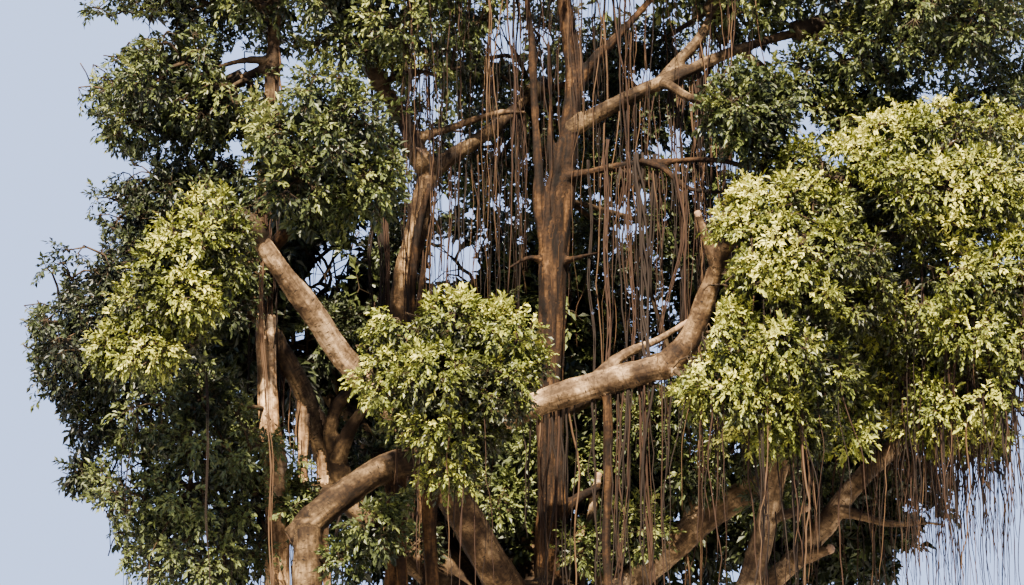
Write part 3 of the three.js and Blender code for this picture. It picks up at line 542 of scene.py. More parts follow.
# Painted shade: bark of the limbs inside the crown, painted darker than the rest
SHADED_BARK = bark_material(
    "shaded_bark",
    [(0.4, (0.012, 0.0064, 0.0029)), (0.5, (0.033, 0.0195, 0.0092)), (0.64, (0.105, 0.067, 0.0335))],
    SHADED_FLECK, 0.6, SHADED_STREAKS, 0.85, 0.009)
# Dark brown root bark, and painted shade too: painted darker for the pillar and limbs that stand in shade
SHADED_ROOT_BARK = bark_material(
    "root_bark",
    [(0.4, (0.005, 0.0023, 0.0009)), (0.5, (0.0135, 0.0064, 0.0024)), (0.64, (0.046, 0.0235, 0.0088))],
    ROOT_FLECK, 0.64, ROOT_STREAKS, 0.85, 0.012)
# A pale root's bark, and painted sunlight too: painted paler still where the sun reaches the root
PALE_SUNLIT_ROOT_BARK = bark_material(
    "pale_sunlit_root_bark",
    [(0.4, (0.12, 0.068, 0.033)), (0.5, (0.27, 0.165, 0.083)), (0.62, (0.5, 0.34, 0.19))],
    PALE_FLECK, 0.64, PALE_STREAKS, 0.82, 0.01)
BRANCH_BARK = bark_material(
    "branch_bark",
    [(0.4, (0.01, 0.006, 0.003)), (0.5, (0.024, 0.015, 0.0076)), (0.62, (0.048, 0.031, 0.016))],
    FLECK, 0.62, FAINT_STREAKS, 0.85, 0.003, plain=True)
TORN_WOOD = plain_material("torn_wood", (0.16, 0.088, 0.042), 0.8)
TWIG = plain_material("twig", (0.024, 0.015, 0.007), 0.85, 0.2)
ROOT_COLOURS = [(0.0065, 0.003, 0.0014), (0.0165, 0.007, 0.003), (0.046, 0.024, 0.011)]
HANGING_ROOTS = [plain_material(f"hanging_root_{index}", colour, 0.9, 0.2)
                 for index, colour in enumerate(ROOT_COLOURS)]

# Leaf colours by tone, palest first: lit and shaded copies of one leaf green, with the light and shade
# painted in
LEAF_COLOURS = {
    SUNLIT: [(0.44, 0.415, 0.082), (0.195, 0.198, 0.028), (0.076, 0.087, 0.011), (0.026, 0.031, 0.0045),
             (0.009, 0.011, 0.002)],
    HALF_LIT: [(0.15, 0.158, 0.04), (0.077, 0.087, 0.02), (0.038, 0.048, 0.011), (0.019, 0.025, 0.006),
            (0.008, 0.011, 0.0034)],
    SHADE: [(0.062, 0.074, 0.02), (0.032, 0.04, 0.011), (0.017, 0.0225, 0.0063), (0.0095, 0.0128, 0.004),
            (0.005, 0.007, 0.0027)],
}
LEAF_ROUGHNESS = 0.45
LEAF_GLOSS = 0.24
LEAVES = {
    tone: [plain_material(f"leaf_{tone}_{index}", colour, LEAF_ROUGHNESS, LEAF_GLOSS)
           for index, colour in enumerate(colours)]
    for tone, colours in LEAF_COLOURS.items()
}

# Fused bark skin: every limb and standing root as a tube, grown together

skin_parts = []
samples = {key: [] for key in ("place", "radius", "owner", "origin", "axes", "length")}
owners = []


def add_samples(owner, points, radii, places=None):
    """Keep a path's frame, which later gives the skin round it its owner and grain.
    The places are where the skin is looked for, when that isn't along the path."""
    steps = norm(np.diff(points, axis=0))
    if owner not in owners:
        owners.append(owner)
    spread = 1 if places is None else len(places) // len(points)
    samples["place"].append(points if places is None else places)
    samples["radius"].append(np.repeat(radii, spread))
    samples["owner"].append(np.full(len(points) * spread, owners.index(owner)))
    samples["origin"].append(np.repeat(points, spread, 0))
    axes = np.stack(frames(points[None]), -1)[0]
    samples["axes"].append(np.repeat(axes, spread, 0))
    samples["length"].append(np.repeat(np.concatenate([[0], np.cumsum(steps)]), spread))


def clearance(points):
    """Each point's distance outside the limbs so far, and the nearest limb's radius."""
    placed, radii = np.vstack(samples["place"]), np.concatenate(samples["radius"])
    gaps = norm(points[:, None] - placed[None]) - radii[None]
    nearest = gaps.argmin(1)
    return gaps[np.arange(len(points)), nearest], radii[nearest]


LIMB_SWAY = 0.7
SWAY_EASE = 0.5
COLLAR_LENGTH = 0.16
SKIN_PATCH = 0.45


def add_limb(owner, route, seed, sides=LIMB_SIDES, rough=0.06, wander=0.03, rooted=False):
    """A tapering limb with an uneven skin and a collar where it leaves what carries it.
    A rooted one has the collar at its top end."""
    points, radii = smooth_route(route, RING_STEP)
    length = np.linspace(0, len(points) * RING_STEP, len(points))
    drift = np.stack([value_noise(np.stack([length / LIMB_SWAY, 0 * length + axis, 0 * length], -1), seed)
                      for axis in range(3)], -1)
    ease = np.minimum(1, length / SWAY_EASE) * np.minimum(1, (length[-1] - length) / SWAY_EASE)
    points = points + wander * ease[:, None] * drift
    gap, carrier = clearance(points)
    near_carrier = (length < 0.6 * length[-1]) != rooted
    share = 0.1 + 0.55 * np.clip(1 - radii.max() / carrier, 0, 1)
    radii = radii * (1 + np.where(near_carrier, share * np.exp(-np.maximum(gap, 0) / COLLAR_LENGTH), 0))
    turn = circle(sides)
    ring = np.stack([np.cos(turn), np.sin(turn)], -1)
    where = np.concatenate([np.broadcast_to(ring, (len(points), sides, 2)),
                            np.broadcast_to(length[:, None, None] / SKIN_PATCH, (len(points), sides, 1))], -1)
    coarse, fine = value_noise(where, seed + 50), value_noise(2.3 * where, seed + 90)
    swell = 1 + rough * coarse + 0.5 * rough * fine
    skin_parts.append(tubes(points[None], radii[None], sides, swell=swell[None]))
    add_samples(owner, points, radii)


def trunk_reach(height, turn):
    """The trunk's radius at a height, in the directions of some angles."""
    flare = np.maximum(0, 1 - height / FLARE_HEIGHT) ** 2
    rise = np.minimum(1, height / FORK_HEIGHT)
    radius = TRUNK_RADIUS + (FORK_RADIUS - TRUNK_RADIUS) * rise
    radius = radius + (FLARE_RADIUS - radius) * flare
    dome = np.clip((height - FORK_HEIGHT) / DOME_HEIGHT, 0, 1)
    radius = radius * (1 - 0.45 * dome**2)
    depth = FLUTE_DEPTH + BUTTRESS_DEPTH * flare
    return radius * (1 + depth * np.cos(BUTTRESSES * turn))


def add_trunk():
    dome = FORK_HEIGHT + DOME_HEIGHT * np.array([0, 0.4, 0.8, 1])
    heights = np.concatenate([np.arange(0, FORK_HEIGHT, TRUNK_STEP), dome])
    turn = circle(TRUNK_SIDES)
    axis = np.stack([TRUNK_LEAN * np.minimum(1, heights / FORK_HEIGHT), 0 * heights, heights], -1)
    reach = trunk_reach(heights[:, None], turn[None])
    where = np.stack(np.broadcast_arrays(2.2 * np.cos(turn)[None], 2.2 * np.sin(turn)[None],
                                         heights[:, None] / 0.6), -1)
    reach = reach * (1 + 0.05 * value_noise(where, 7))
    ring = np.stack([np.cos(turn), np.sin(turn), 0 * turn], -1)
    vertices = axis[:, None] + reach[..., None] * ring
    skin_parts.append((vertices.reshape(-1, 3), tube_faces(len(heights), TRUNK_SIDES)))
    inner = axis[:, None] + (reach[..., None] - TRUNK_SKIN) * ring
    add_samples("trunk", axis, np.full(len(axis), TRUNK_SKIN), inner[:, ::3].reshape(-1, 3))


STRANDS = 15
STRAND_SIDES = 10
STRAND_RADIUS = 0.034
STRAND_DRIFT = 0.7
STRAND_START_RINGS = 22
STRAND_TAPER_RINGS = 4


def add_strands(owner, centre_line, line_radii, seed):
    """Roots that run down a limb, half sunk in it and grown together with it."""
    rng = np.random.default_rng(seed)
    _, across, beside = (part[0] for part in frames(centre_line[None]))
    length = np.arange(len(centre_line)) * RING_STEP
    for index in range(STRANDS):
        first = rng.integers(0, STRAND_START_RINGS)
        last = len(centre_line) - rng.integers(0, STRAND_START_RINGS)
        turn = 2 * np.pi * (index + 0.5 * rng.random()) / STRANDS
        path = np.stack([length / 1.3, 0 * length + index, 0 * length], -1)
        turn = (turn + STRAND_DRIFT * value_noise(path, seed))[:, None]
        reach = line_radii * (1 + 0.1 * value_noise(path * 2, seed + 1))
        points = centre_line + reach[:, None] * (np.cos(turn) * across + np.sin(turn) * beside)
        radii = STRAND_RADIUS * (0.7 + 0.6 * rng.random()) * (1 + 0.25 * value_noise(path * 3, seed + 2))
        points, radii = points[first:last], radii[first:last].copy()
        radii[-STRAND_TAPER_RINGS:] *= np.linspace(1, 0.35, STRAND_TAPER_RINGS)
        skin_parts.append(tubes(points[None], radii[None], STRAND_SIDES))
        add_samples(owner, points, radii)


# How much of a limb's radius its own skin takes, where that isn't all of it
SKIN_SHARE = {"central_leader": 0.95, "right_upper_bough": 0.66}
ROOTED_HEIGHT = 7.1
# Bundles of roots, and the limb whose node each stands for
ROOT_NODES = {"central_leader_roots": "central_leader", "leaning_roots": "centre_left_leader"}

add_trunk()
for number, (name, route) in enumerate(LIMBS.items()):
    share = SKIN_SHARE.get(name, 1)
    add_limb(name, [(x, y, z, share * radius) for x, y, z, radius in route], number)
    if name in STUBS:
        add_limb(name, STUBS[name], number + 300, sides=14, wander=0.01)
for number, (name, route) in enumerate(PROP_ROOTS.items()):
    add_limb(name, route, number + 100, rough=0.12, rooted=True)
for number, (owner, route) in enumerate(BRANCHLETS.values()):
    add_limb(owner, route, number + 200, SLIGHT_LIMB_SIDES)
for number, (owner, route) in enumerate(SIDE_ROOTS.values()):
    add_limb(owner, route, number + 250, SLIGHT_LIMB_SIDES, rough=0.12, rooted=True)

leader_line, leader_radii = smooth_route(LIMBS["central_leader"], RING_STEP)
rooted = leader_line[:, 2] < ROOTED_HEIGHT
add_strands("central_leader_roots", leader_line[rooted], leader_radii[rooted], 11)


def read(items, field, width, kind=np.float64):
    values = np.empty(len(items) * width, kind)
    items.foreach_get(field, values)
    return values.reshape(-1, width) if width > 1 else values


def grown_together(vertices, faces):
    """The outer skin of overlapping closed tubes: vertices, edges and four-sided faces."""
    mesh = bpy.data.meshes.new("skin")
    mesh.from_pydata(vertices.tolist(), [], faces.tolist())
    skin = add_object("skin", mesh)
    remesh = skin.modifiers.new("remesh", "REMESH")
    remesh.mode = "VOXEL"
    remesh.voxel_size = VOXEL
    evaluated = skin.evaluated_get(bpy.context.evaluated_depsgraph_get())
    fused = bpy.data.meshes.new_from_object(evaluated)
    result = (read(fused.vertices, "co", 3), read(fused.edges, "vertices", 2, np.int32),
              read(fused.loops, "vertex_index", 1, np.int32).reshape(-1, 4))
    bpy.data.objects.remove(skin)
    bpy.data.meshes.remove(mesh)
    bpy.data.meshes.remove(fused)
    return result


def smoothed(vertices, edges, rounds):
    count = np.bincount(edges.ravel(), minlength=len(vertices))[:, None]
    for _ in range(rounds):
        total = np.stack([
            np.bincount(edges[:, 0], vertices[edges[:, 1], axis], len(vertices))
            + np.bincount(edges[:, 1], vertices[edges[:, 0], axis], len(vertices))
            for axis in range(3)], -1)
        vertices = 0.5 * (vertices + total / count)
    return vertices


def vertex_normals(vertices, faces):
    across = np.cross(vertices[faces[:, 2]] - vertices[faces[:, 0]],
                      vertices[faces[:, 3]] - vertices[faces[:, 1]])
    total = np.stack([np.bincount(faces.ravel(), np.repeat(across[:, axis], 4), len(vertices))
                      for axis in range(3)], -1)
    return unit(total)


def nearest_samples(vertices, places, radii):
    """The sample whose tube's surface is nearest to each vertex."""
    tree = kdtree.KDTree(len(places))
    for index, place in enumerate(places.tolist()):
        tree.insert(place, index)
    tree.balance()
    depth = radii.tolist()
    return np.array([
        min(tree.find_n(place, 8), key=lambda hit: hit[2] - depth[hit[1]])[1]
        for place in vertices.tolist()])


def bark_relief(grain):
    """Bumps at three sizes, the smallest in rings across the grain."""
    return (0.009 * value_noise(grain / (0.2, 0.2, 0.3), 1)
            + 0.005 * value_noise(grain / (0.07, 0.07, 0.1), 2)
            + 0.003 * value_noise(grain / (0.09, 0.09, 0.035), 3))


def root_relief(grain):
    """Ridges along the grain."""
    return (0.009 * value_noise(grain / (0.05, 0.05, 0.7), 4)
            + 0.004 * value_noise(grain / (0.03, 0.03, 0.35), 5)
            + 0.006 * value_noise(grain / (0.15, 0.15, 0.2), 6))


KNOTS = 90
KNOT_SIZES = (0.035, 0.075)
KNOT_HEIGHTS = (0.012, 0.03)
# Where wood shows bare, and how far round
TORN_BRANCHLETS = {"torn_stub": 0.09, "broken_branch": 0.12, "torn_branch": 0.2, "pale_snag": 0.07}
TORN_ENDS = [(route[1][:3], 0.07) for route in STUBS.values()]
TORN_ENDS += [(BRANCHLETS[name][1][-1][:3], size) for name, size in TORN_BRANCHLETS.items()]
TORN_ENDS += [(LIMBS["left_front_bough"][-1][:3], 0.09), ((-1.41, 0.1, 7.1), 0.07)]
ROOT_OWNERS = {*ROOT_NODES, "front_prop_root", "right_prop_root", "left_prop_root"}
# The bark of each limb, with painted light and shade: sunny bark on limbs in the sun, plain bark on a few,
# the root barks' own painted shade and light, and shaded bark on the rest inside the crown
BARK_OF = {name: bark for bark, names in [
    (SHADED_ROOT_BARK, [*ROOT_NODES, "right_prop_root", "front_prop_root", "central_leader", "left_inner_branch",
                 "right_upper_bough"]),
    (PALE_SUNLIT_ROOT_BARK, ["left_prop_root"]),
    (SUNNY_BARK, ["left_front_bough", "right_front_bough", "right_low_limb", "right_bough",
                  "right_end_bough"]),
    (BARK, ["right_front_riser", "centre_left_leader", "centre_left_high", "front_leader"]),
] for name in names}


def make_bark():
    """The bark's pieces, one to each owner. Returns the samples, joined."""
    vertices, edges, faces = grown_together(*merged(skin_parts))
    vertices = smoothed(vertices, edges, SMOOTH_ROUNDS)
    sample = {key: np.concatenate(value) for key, value in samples.items()}
    near = nearest_samples(vertices, sample["place"], sample["radius"])
    offset = vertices - sample["origin"][near]
    axes = sample["axes"][near]
    grain = np.einsum("ni,nij->nj", offset, axes)[:, [1, 2, 0]]
    grain[:, 2] += sample["length"][near]
    grain += 7.3 * sample["owner"][near][:, None]
    normals = vertex_normals(vertices, faces)
    rooty = np.isin(sample["owner"][near], [owners.index(name) for name in owners if name in ROOT_OWNERS])
    lift = np.where(rooty, root_relief(grain), bark_relief(grain))
    rng = np.random.default_rng(5)
    for index in rng.choice(np.flatnonzero(~rooty), KNOTS, replace=False):
        away = norm(vertices - vertices[index])
        size, height = rng.uniform(*KNOT_SIZES), rng.uniform(*KNOT_HEIGHTS)
        lift += height * np.exp(-(away / size) ** 2) - 0.9 * height * np.exp(-(away / (0.5 * size)) ** 2)
    vertices = vertices + lift[:, None] * normals
    vertices[:, 2] = np.maximum(vertices[:, 2], 0)
    normals = vertex_normals(vertices, faces)
    owner = sample["owner"][near][faces[:, 0]]
    centre = vertices[faces].mean(1)
    torn = np.zeros(len(faces), bool)
    for place, size in TORN_ENDS:
        torn |= norm(centre - np.array(place)) < size
    for number, name in enumerate(owners):
        own = faces[owner == number]
        if not len(own):
            continue
        used, index = np.unique(own, return_inverse=True)
        node = ROOT_NODES.get(name, name)
        slot = "root_bark" if name in ROOT_OWNERS or node in PROP_ROOTS else "bark"
        piece = mesh_piece(f"bark_{name}", vertices[used], index.reshape(-1, 4),
                           [BARK_OF.get(name, SHADED_BARK), TORN_WOOD], slot, [node],
                           torn[owner == number], smooth=True)
        attribute = piece.data.attributes.new("grain", "FLOAT_VECTOR", "POINT")
        attribute.data.foreach_set("vector", grain[used].astype(np.float32).ravel())
        piece.data.normals_split_custom_set_from_vertices(normals[used].tolist())
    return sample


bark_samples = make_bark()

# Foliage: a stem from the tip of the bough, branches to lobes, and leafy sprays

# How far past the box of the solids a twig may reach
BOX_MARGIN = 0.05
BOX_LOW = np.array(cad_box[0]) - BOX_MARGIN
BOX_HIGH = np.array(cad_box[1]) + BOX_MARGIN
WALL_MARGIN = 0.01
STEM_LEAD = 0.09
TUFT_STEM_RADIUS = 0.02
LEAVES_PER_SPRAY = 11
DIRECTION_STRAY = 0.16
GOLDEN_ANGLE = math.pi * (3 - math.sqrt(5))


def even_directions(count, rng):
    """Directions spread evenly over a sphere, each a little out of its place."""
    index = np.arange(count)
    height = 1 - (2 * index + 1) / count
    around = np.sqrt(1 - height**2)
    turn = rng.random() * 2 * np.pi + GOLDEN_ANGLE * index
    even = np.stack([around * np.cos(turn), around * np.sin(turn), height], -1)
    return unit(even + DIRECTION_STRAY * (2 * rng.random((count, 3)) - 1))


class Space:
    """The space that a mass or a clump of shoots keeps to, the limb that it grows from,
    and a wall to each neighbour that it would meet."""

    def __init__(self, name):
        self.name = name
        if name in TUFTS:
            *centre, radius, self.tone = TUFTS[name]
            lean, reach = 0, [radius] * 3
            away = norm(bark_samples["origin"] - centre)
            root = away.argmin()
            owner = owners[bark_samples["owner"][root]]
            self.limb = ROOT_NODES.get(owner, owner)
            self.root, self.root_radius = bark_samples["origin"][root], TUFT_STEM_RADIUS
            self.heading = unit(np.array(centre) - self.root)
        else:
            self.limb, centre, reach, self.tone, lean = MASSES[name]
            before, tip = np.array(LIMBS[self.limb][-2:])
            self.root, self.root_radius = tip[:3], tip[3]
            self.heading = unit(tip[:3] - before[:3])
        self.centre, self.reach = np.array(centre), np.array(reach)
        lean = math.radians(lean)
        self.turned = np.array([[math.cos(lean), 0, math.sin(lean)], [0, 1, 0],
                                [-math.sin(lean), 0, math.cos(lean)]])
        self.walls = []

    def point_at(self, directions, share):
        return self.centre + (directions * self.reach * share) @ self.turned.T

    def depth(self, points):
        """0 at the centre, 1 at the edge of the space."""
        return norm((points - self.centre) @ self.turned / self.reach)

    def add_walls(self, spaces):
        for other in spaces:
            if other is self:
                continue
            outward = other.centre - self.centre
            distance = np.linalg.norm(outward)
            outward = outward / distance
            own = np.linalg.norm(outward @ self.turned * self.reach)
            both = own + np.linalg.norm(outward @ other.turned * other.reach)
            if both > distance:
                self.walls.append((outward, outward @ self.centre + distance * own / both - WALL_MARGIN))

    def holds(self, points, edge=1.0, give=0.0):
        inside = self.depth(points) < edge
        for outward, limit in self.walls:
            inside &= points @ outward < limit + give
        return inside


def clear_of_limbs(points, margin):
    """Whether each point is this far outside the limbs."""
    placed, radii = bark_samples["place"], bark_samples["radius"]
    near = norm(placed - points.mean(0)) < np.ptp(points, axis=0).max() + 0.5
    if not near.any():
        return np.ones(len(points), bool)
    gaps = norm(points[:, None] - placed[None, near]) - radii[None, near]
    return gaps.min(1) > margin


# A leaf folded along its midrib: root, one edge, tip, the other edge
LEAF_OUTLINE = np.array([(0, 0, 0), (0.46, 0.25, 0.08), (1, 0, -0.1), (0.46, -0.25, 0.08)])


def leaf_blades(base, direction, up, length):
    """Vertices and triangles of leaves, two to each."""
    side = unit(np.cross(direction, up))
    facing = np.cross(side, direction)
    corners = (LEAF_OUTLINE[:, 0, None] * direction[:, None] + LEAF_OUTLINE[:, 1, None] * side[:, None]
               + LEAF_OUTLINE[:, 2, None] * facing[:, None])
    vertices = base[:, None] + length[:, None, None] * corners
    faces = np.array([(0, 2, 1), (0, 3, 2)]) + 4 * np.arange(len(base))[:, None, None]
    return vertices.reshape(-1, 3), faces.reshape(-1, 3)


# How a mass is grown: its clumps, the size of the lobes on them and the space between
# these, the sprays on each lobe, the length of a leaf, and how sprays droop or stand up
Habit = namedtuple("Habit", "clumps lobe apart sprays leaf droop crown")
HABITS = {
    "front": Habit(15, 0.22, 0.32, 15, 0.057, 0.35, 0.8),
    "middle": Habit(17, 0.27, 0.5, 14, 0.072, 0.3, 0.6),
    "open": Habit(15, 0.34, 0.62, 13, 0.085, 0.2, 0.5),
    "back": Habit(18, 0.44, 0.64, 13, 0.135, 0.15, 0.3),
}
# How much paler or darker a mass's sprays are than others of its tone: painted light where a mass is more
# lit, painted shade where it is less
PAINTED_LIGHT_LIFT = {"left_low": 0.4, "back_high": 0.4, "top_centre": 0.2, "top_right_mid": 0.15, "top_centre_left": 0.12,
         "right_end": 0.12, "back_centre": 0.12, "right_outer": 0.07, "right_upper": 0.05, "front_left": 0.05,
         "right_left": 0.03, "right_low": 0.03, "top_left": 0.03, "left_shoulder": -0.06,
         "centre_right": -0.08, "left_outer": -0.12}
HIGH_UP = 9.2
# Away from the front, high up and deep inside, sprays are fewer and their leaves larger
COARSE_LOSS = 0.7
COARSE_GROWTH = 0.75
CLUMP_FLATNESS = 0.78
CLUMP_PLACES = (0.52, 0.76)
CLUMP_SIZES = (0.28, 0.42)
HEART_SIZE = 0.5
HEART_LOBES = 6
HEART_SHARE = 0.3
LOBE_OVERLAP = 0.72
SHEET_SPREAD = 1.22
EDGE_GIVE = 1.03
TIP_GIVE = 0.08
# Masses whose clumps show: the middle of each and its radius
SHOWN_CLUMPS = {
    "centre_right": [
        (1.86, -1.6, 7.5, 0.28), (2.22, -1.6, 7.43, 0.28), (1.98, -1.9, 7.09, 0.3), (2.36, -1.7, 7.1, 0.24),
        (1.78, -1.7, 7.1, 0.18), (2.1, -1.7, 6.82, 0.19), (2.61, -1.3, 7.43, 0.22), (2.04, -1.2, 7.42, 0.3)],
    "front_centre": [
        (-0.97, -2.6, 4.1, 0.5), (-1.48, -2.6, 4.7, 0.38), (-0.95, -2.55, 4.79, 0.38),
        (-0.43, -2.6, 4.6, 0.38), (-1.56, -2.75, 4.21, 0.36), (-1.06, -3.1, 4.18, 0.4),
        (-0.48, -2.8, 4.08, 0.36), (-1, -2.9, 3.65, 0.36), (-0.98, -2.75, 3.28, 0.26),
        (-1.33, -2.6, 3.81, 0.28), (-1.18, -2.1, 4.57, 0.42), (-0.58, -2.15, 4.36, 0.4),
        (-0.93, -2.2, 3.8, 0.38), (-0.16, -2.5, 4.34, 0.24), (-0.65, -2.5, 3.72, 0.26),
        (-1.74, -2.5, 4.51, 0.26)],
    "front_left": [
        (-3.7, -2.65, 4.98, 0.4), (-3.33, -2.6, 5.81, 0.27), (-3.45, -2.85, 5.52, 0.32),
        (-3.22, -2.6, 5.33, 0.28), (-3.75, -2.8, 5.29, 0.34), (-3.5, -3, 4.92, 0.34),
        (-3.93, -2.75, 4.86, 0.32), (-4.2, -2.6, 4.57, 0.26), (-3.84, -2.85, 4.41, 0.32),
        (-3.5, -2.7, 4.48, 0.28), (-3.59, -2.55, 4.18, 0.22), (-3.85, -2.2, 5.12, 0.36),
        (-3.45, -2.2, 5.17, 0.3), (-4.08, -2.25, 4.7, 0.28), (-3.07, -2.75, 5.6, 0.16),
        (-4.37, -2.5, 4.44, 0.16)],
    "right_upper": [
        (2.68, -2.4, 5.95, 0.4), (3.08, -2.3, 6.31, 0.4), (3.56, -2.1, 6.63, 0.38), (4, -2, 6.83, 0.38),
        (4.53, -1.9, 6.83, 0.38), (4.97, -1.8, 6.66, 0.36), (3.18, -2.65, 5.79, 0.4),
        (3.69, -2.6, 6.05, 0.42), (4.21, -2.5, 6.08, 0.42), (4.69, -2.35, 5.89, 0.4),
        (3.86, -2.75, 5.47, 0.38), (3.35, -2.85, 5.4, 0.32), (5.31, -1.8, 6.24, 0.38),
        (5.39, -1.8, 5.71, 0.36), (3.77, -1.5, 6.41, 0.5), (4.65, -1.3, 6.35, 0.5), (3.15, -1.7, 6.1, 0.4),
        (3.48, -2.8, 5.33, 0.28), (4.2, -1.6, 7.31, 0.26), (3.77, -1.6, 7.15, 0.26),
        (4.65, -1.5, 7.28, 0.26), (3.28, -2.7, 5.61, 0.3), (2.95, -2.6, 5.9, 0.26)],
    "right_left": [
        (2.18, -2.6, 5.93, 0.34), (2.52, -2.8, 5.73, 0.38), (1.93, -2.75, 5.54, 0.3),
        (2.31, -3.1, 5.29, 0.4), (2.77, -3.05, 5.34, 0.36), (2.01, -3.05, 4.99, 0.34),
        (2.38, -3.2, 4.76, 0.34), (2.86, -2.95, 4.89, 0.3), (1.72, -2.7, 5.01, 0.26),
        (1.52, -2.6, 4.73, 0.2), (2.42, -2.4, 5.49, 0.45), (3, -2.2, 5.48, 0.4), (2.96, -2.95, 5.08, 0.3),
        (3.14, -2.7, 4.75, 0.28), (1.86, -2.5, 5.85, 0.22)],
    "right_low": [
        (1.71, -3, 4.54, 0.34), (1.45, -2.85, 4.24, 0.3), (1.76, -3.1, 3.97, 0.34),
        (2.16, -3.2, 4.34, 0.34), (1.35, -2.7, 3.96, 0.24), (2.12, -3, 3.81, 0.3),
        (2.58, -2.95, 4.18, 0.28), (1.88, -2.85, 3.62, 0.22), (2.43, -2.7, 3.63, 0.24),
        (2.91, -2.4, 3.73, 0.26), (1.72, -2.4, 4.46, 0.38), (2.38, -2.4, 4.13, 0.38),
        (2.87, -2.3, 4.04, 0.3)],
    "right_outer": [
        (4.32, -2.65, 5.12, 0.38), (4.71, -2.4, 5.36, 0.38), (4.05, -2.75, 4.64, 0.36),
        (4.47, -2.6, 4.5, 0.38), (4.25, -2.6, 4.01, 0.36), (3.93, -2.5, 3.89, 0.32),
        (4.58, -2.3, 3.79, 0.32), (3.64, -2.65, 4.94, 0.32), (4.24, -2.3, 3.54, 0.26),
        (5.11, -2.1, 4.83, 0.38), (5.2, -1.9, 4.14, 0.36), (4.52, -2.1, 3.34, 0.18),
        (3.66, -1.9, 4.45, 0.34), (3.38, -2, 4.69, 0.34), (3.38, -1.8, 4.03, 0.34), (3.78, -2, 3.73, 0.28),
        (4.65, -1.7, 4.79, 0.5), (4.24, -1.6, 4.28, 0.5), (3.45, -2.7, 5.23, 0.32),
        (3.35, -2.4, 4.98, 0.32), (3.82, -2.8, 5.19, 0.34), (3.38, -2.6, 4.73, 0.28),
        (3.2, -2.4, 4.36, 0.26), (3.51, -2.4, 4.06, 0.26)],
}
# The direction of the sun, which the painted light on the sprays follows
LIGHT = unit(np.array([-0.25, -0.55, 0.8]))


def habit_of(space):
    if space.tone == SUNLIT:
        return HABITS["front"]
    if space.name == "back_high":
        return HABITS["open"]
    return HABITS["back"] if space.name.startswith("back") else HABITS["middle"]


def clumps_of(space, habit, rng):
    """The centres and radii of a mass's clumps."""
    if space.name in SHOWN_CLUMPS:
        clumps = np.array(SHOWN_CLUMPS[space.name])
        return clumps[:, :3], clumps[:, 3] * (SHEET_SPREAD if space.name.startswith("right") else 1)
    if space.name in TUFTS:
        return space.centre[None], space.reach[:1] * 0.9
    heads = even_directions(habit.clumps, rng)
    places = space.point_at(heads, rng.uniform(*CLUMP_PLACES, (len(heads), 1)))
    sizes = np.concatenate([[HEART_SIZE], rng.uniform(*CLUMP_SIZES, len(heads))])
    return np.vstack([space.centre, places]), space.reach.mean() * sizes


def lobe_places(space, habit, rng):
    """Lobe centres on the skins of the clumps, with the middle of each one's clump."""
    centres, radii = clumps_of(space, habit, rng)
    places = [space.point_at(even_directions(HEART_LOBES, rng), HEART_SHARE)]
    hearts = [np.tile(space.centre, (HEART_LOBES, 1))]
    for centre, radius in zip(centres, radii):
        count = max(6, int(4 * np.pi * radius**2 / habit.apart ** 2))
        skin = even_directions(count, rng)
        inset = np.maximum(radius - 0.55 * habit.lobe + rng.uniform(-0.08, 0.06, (count, 1)), 0.05)
        spots = centre + inset * skin * [1, 1, CLUMP_FLATNESS]
        away = norm(spots[:, None] - centres) / radii
        hidden = (away < LOBE_OVERLAP).sum(1) > (LOBE_OVERLAP * radius > inset[:, 0])
        places.append(spots[~hidden])
        hearts.append(0 * spots[~hidden] + centre)
    places, hearts = np.vstack(places), np.vstack(hearts)
    inside = space.holds(places)
    return places[inside], hearts[inside]


WOOD_RADIUS = 0.0075
LOAD_POWER = 0.55
TRAVEL_COST = 0.3
BRANCH_RISE = np.array([0, 0, 0.12])
BRANCH_SWAY = 0.07


def branch_tree(space, lobes):
    """Branches from the stem to every lobe. Each lobe joins the nearest wood, counting
    part of the way back along it. Returns every joint, the stem and its radii, and the
    branches' paths and radii."""
    heading = space.heading
    lead = space.root + STEM_LEAD * heading
    t = np.linspace(0, 1, 7)[:, None]
    bend = lead + 0.35 * np.linalg.norm(space.centre - lead) * heading
    stem = np.vstack([space.root - STEM_LEAD * heading, bent(lead, bend, space.centre, t)])
    rings = len(stem)
    joints, parents, travel = list(stem), [-1, *range(rings - 1)], [0.1 * k for k in range(rings)]
    order = np.argsort(norm(lobes[:, None] - stem[None]).min(1))
    for lobe in order:
        known = np.array(joints)
        cost = norm(known - lobes[lobe]) + TRAVEL_COST * np.array(travel)
        start = int(cost.argmin())
        span = np.linalg.norm(lobes[lobe] - known[start])
        middle = 0.5 * (known[start] + lobes[lobe]) + span * BRANCH_RISE
        sway = value_noise(middle[None] * 3 + [[0, 0, 0], [9, 0, 0], [0, 9, 0]], 3)
        joints += [middle + BRANCH_SWAY * span * sway, lobes[lobe]]
        parents += [start, len(joints) - 2]
        travel += [travel[start] + span / 2, travel[start] + span]
    load = np.zeros(len(joints))
    for joint in range(rings + 1, len(joints), 2):
        while joint >= 0:
            load[joint] += 1
            joint = parents[joint]
    radii = WOOD_RADIUS * np.maximum(load, 1) ** LOAD_POWER
    stem_radii = np.linspace(space.root_radius, 0.4 * space.root_radius, rings)
    radii[:rings] = np.maximum(radii[:rings], stem_radii)
    joints = np.array(joints)
    middles = np.arange(rings, len(joints), 2)
    starts = np.array(parents)[middles]
    paths = np.stack([joints[starts], joints[middles], joints[middles + 1]], 1)
    base_radii = np.minimum(radii[starts], 1.3 * radii[middles])
    widths = np.stack([base_radii, radii[middles], radii[middles + 1]], 1)
    return joints, stem, radii[:rings], paths, widths


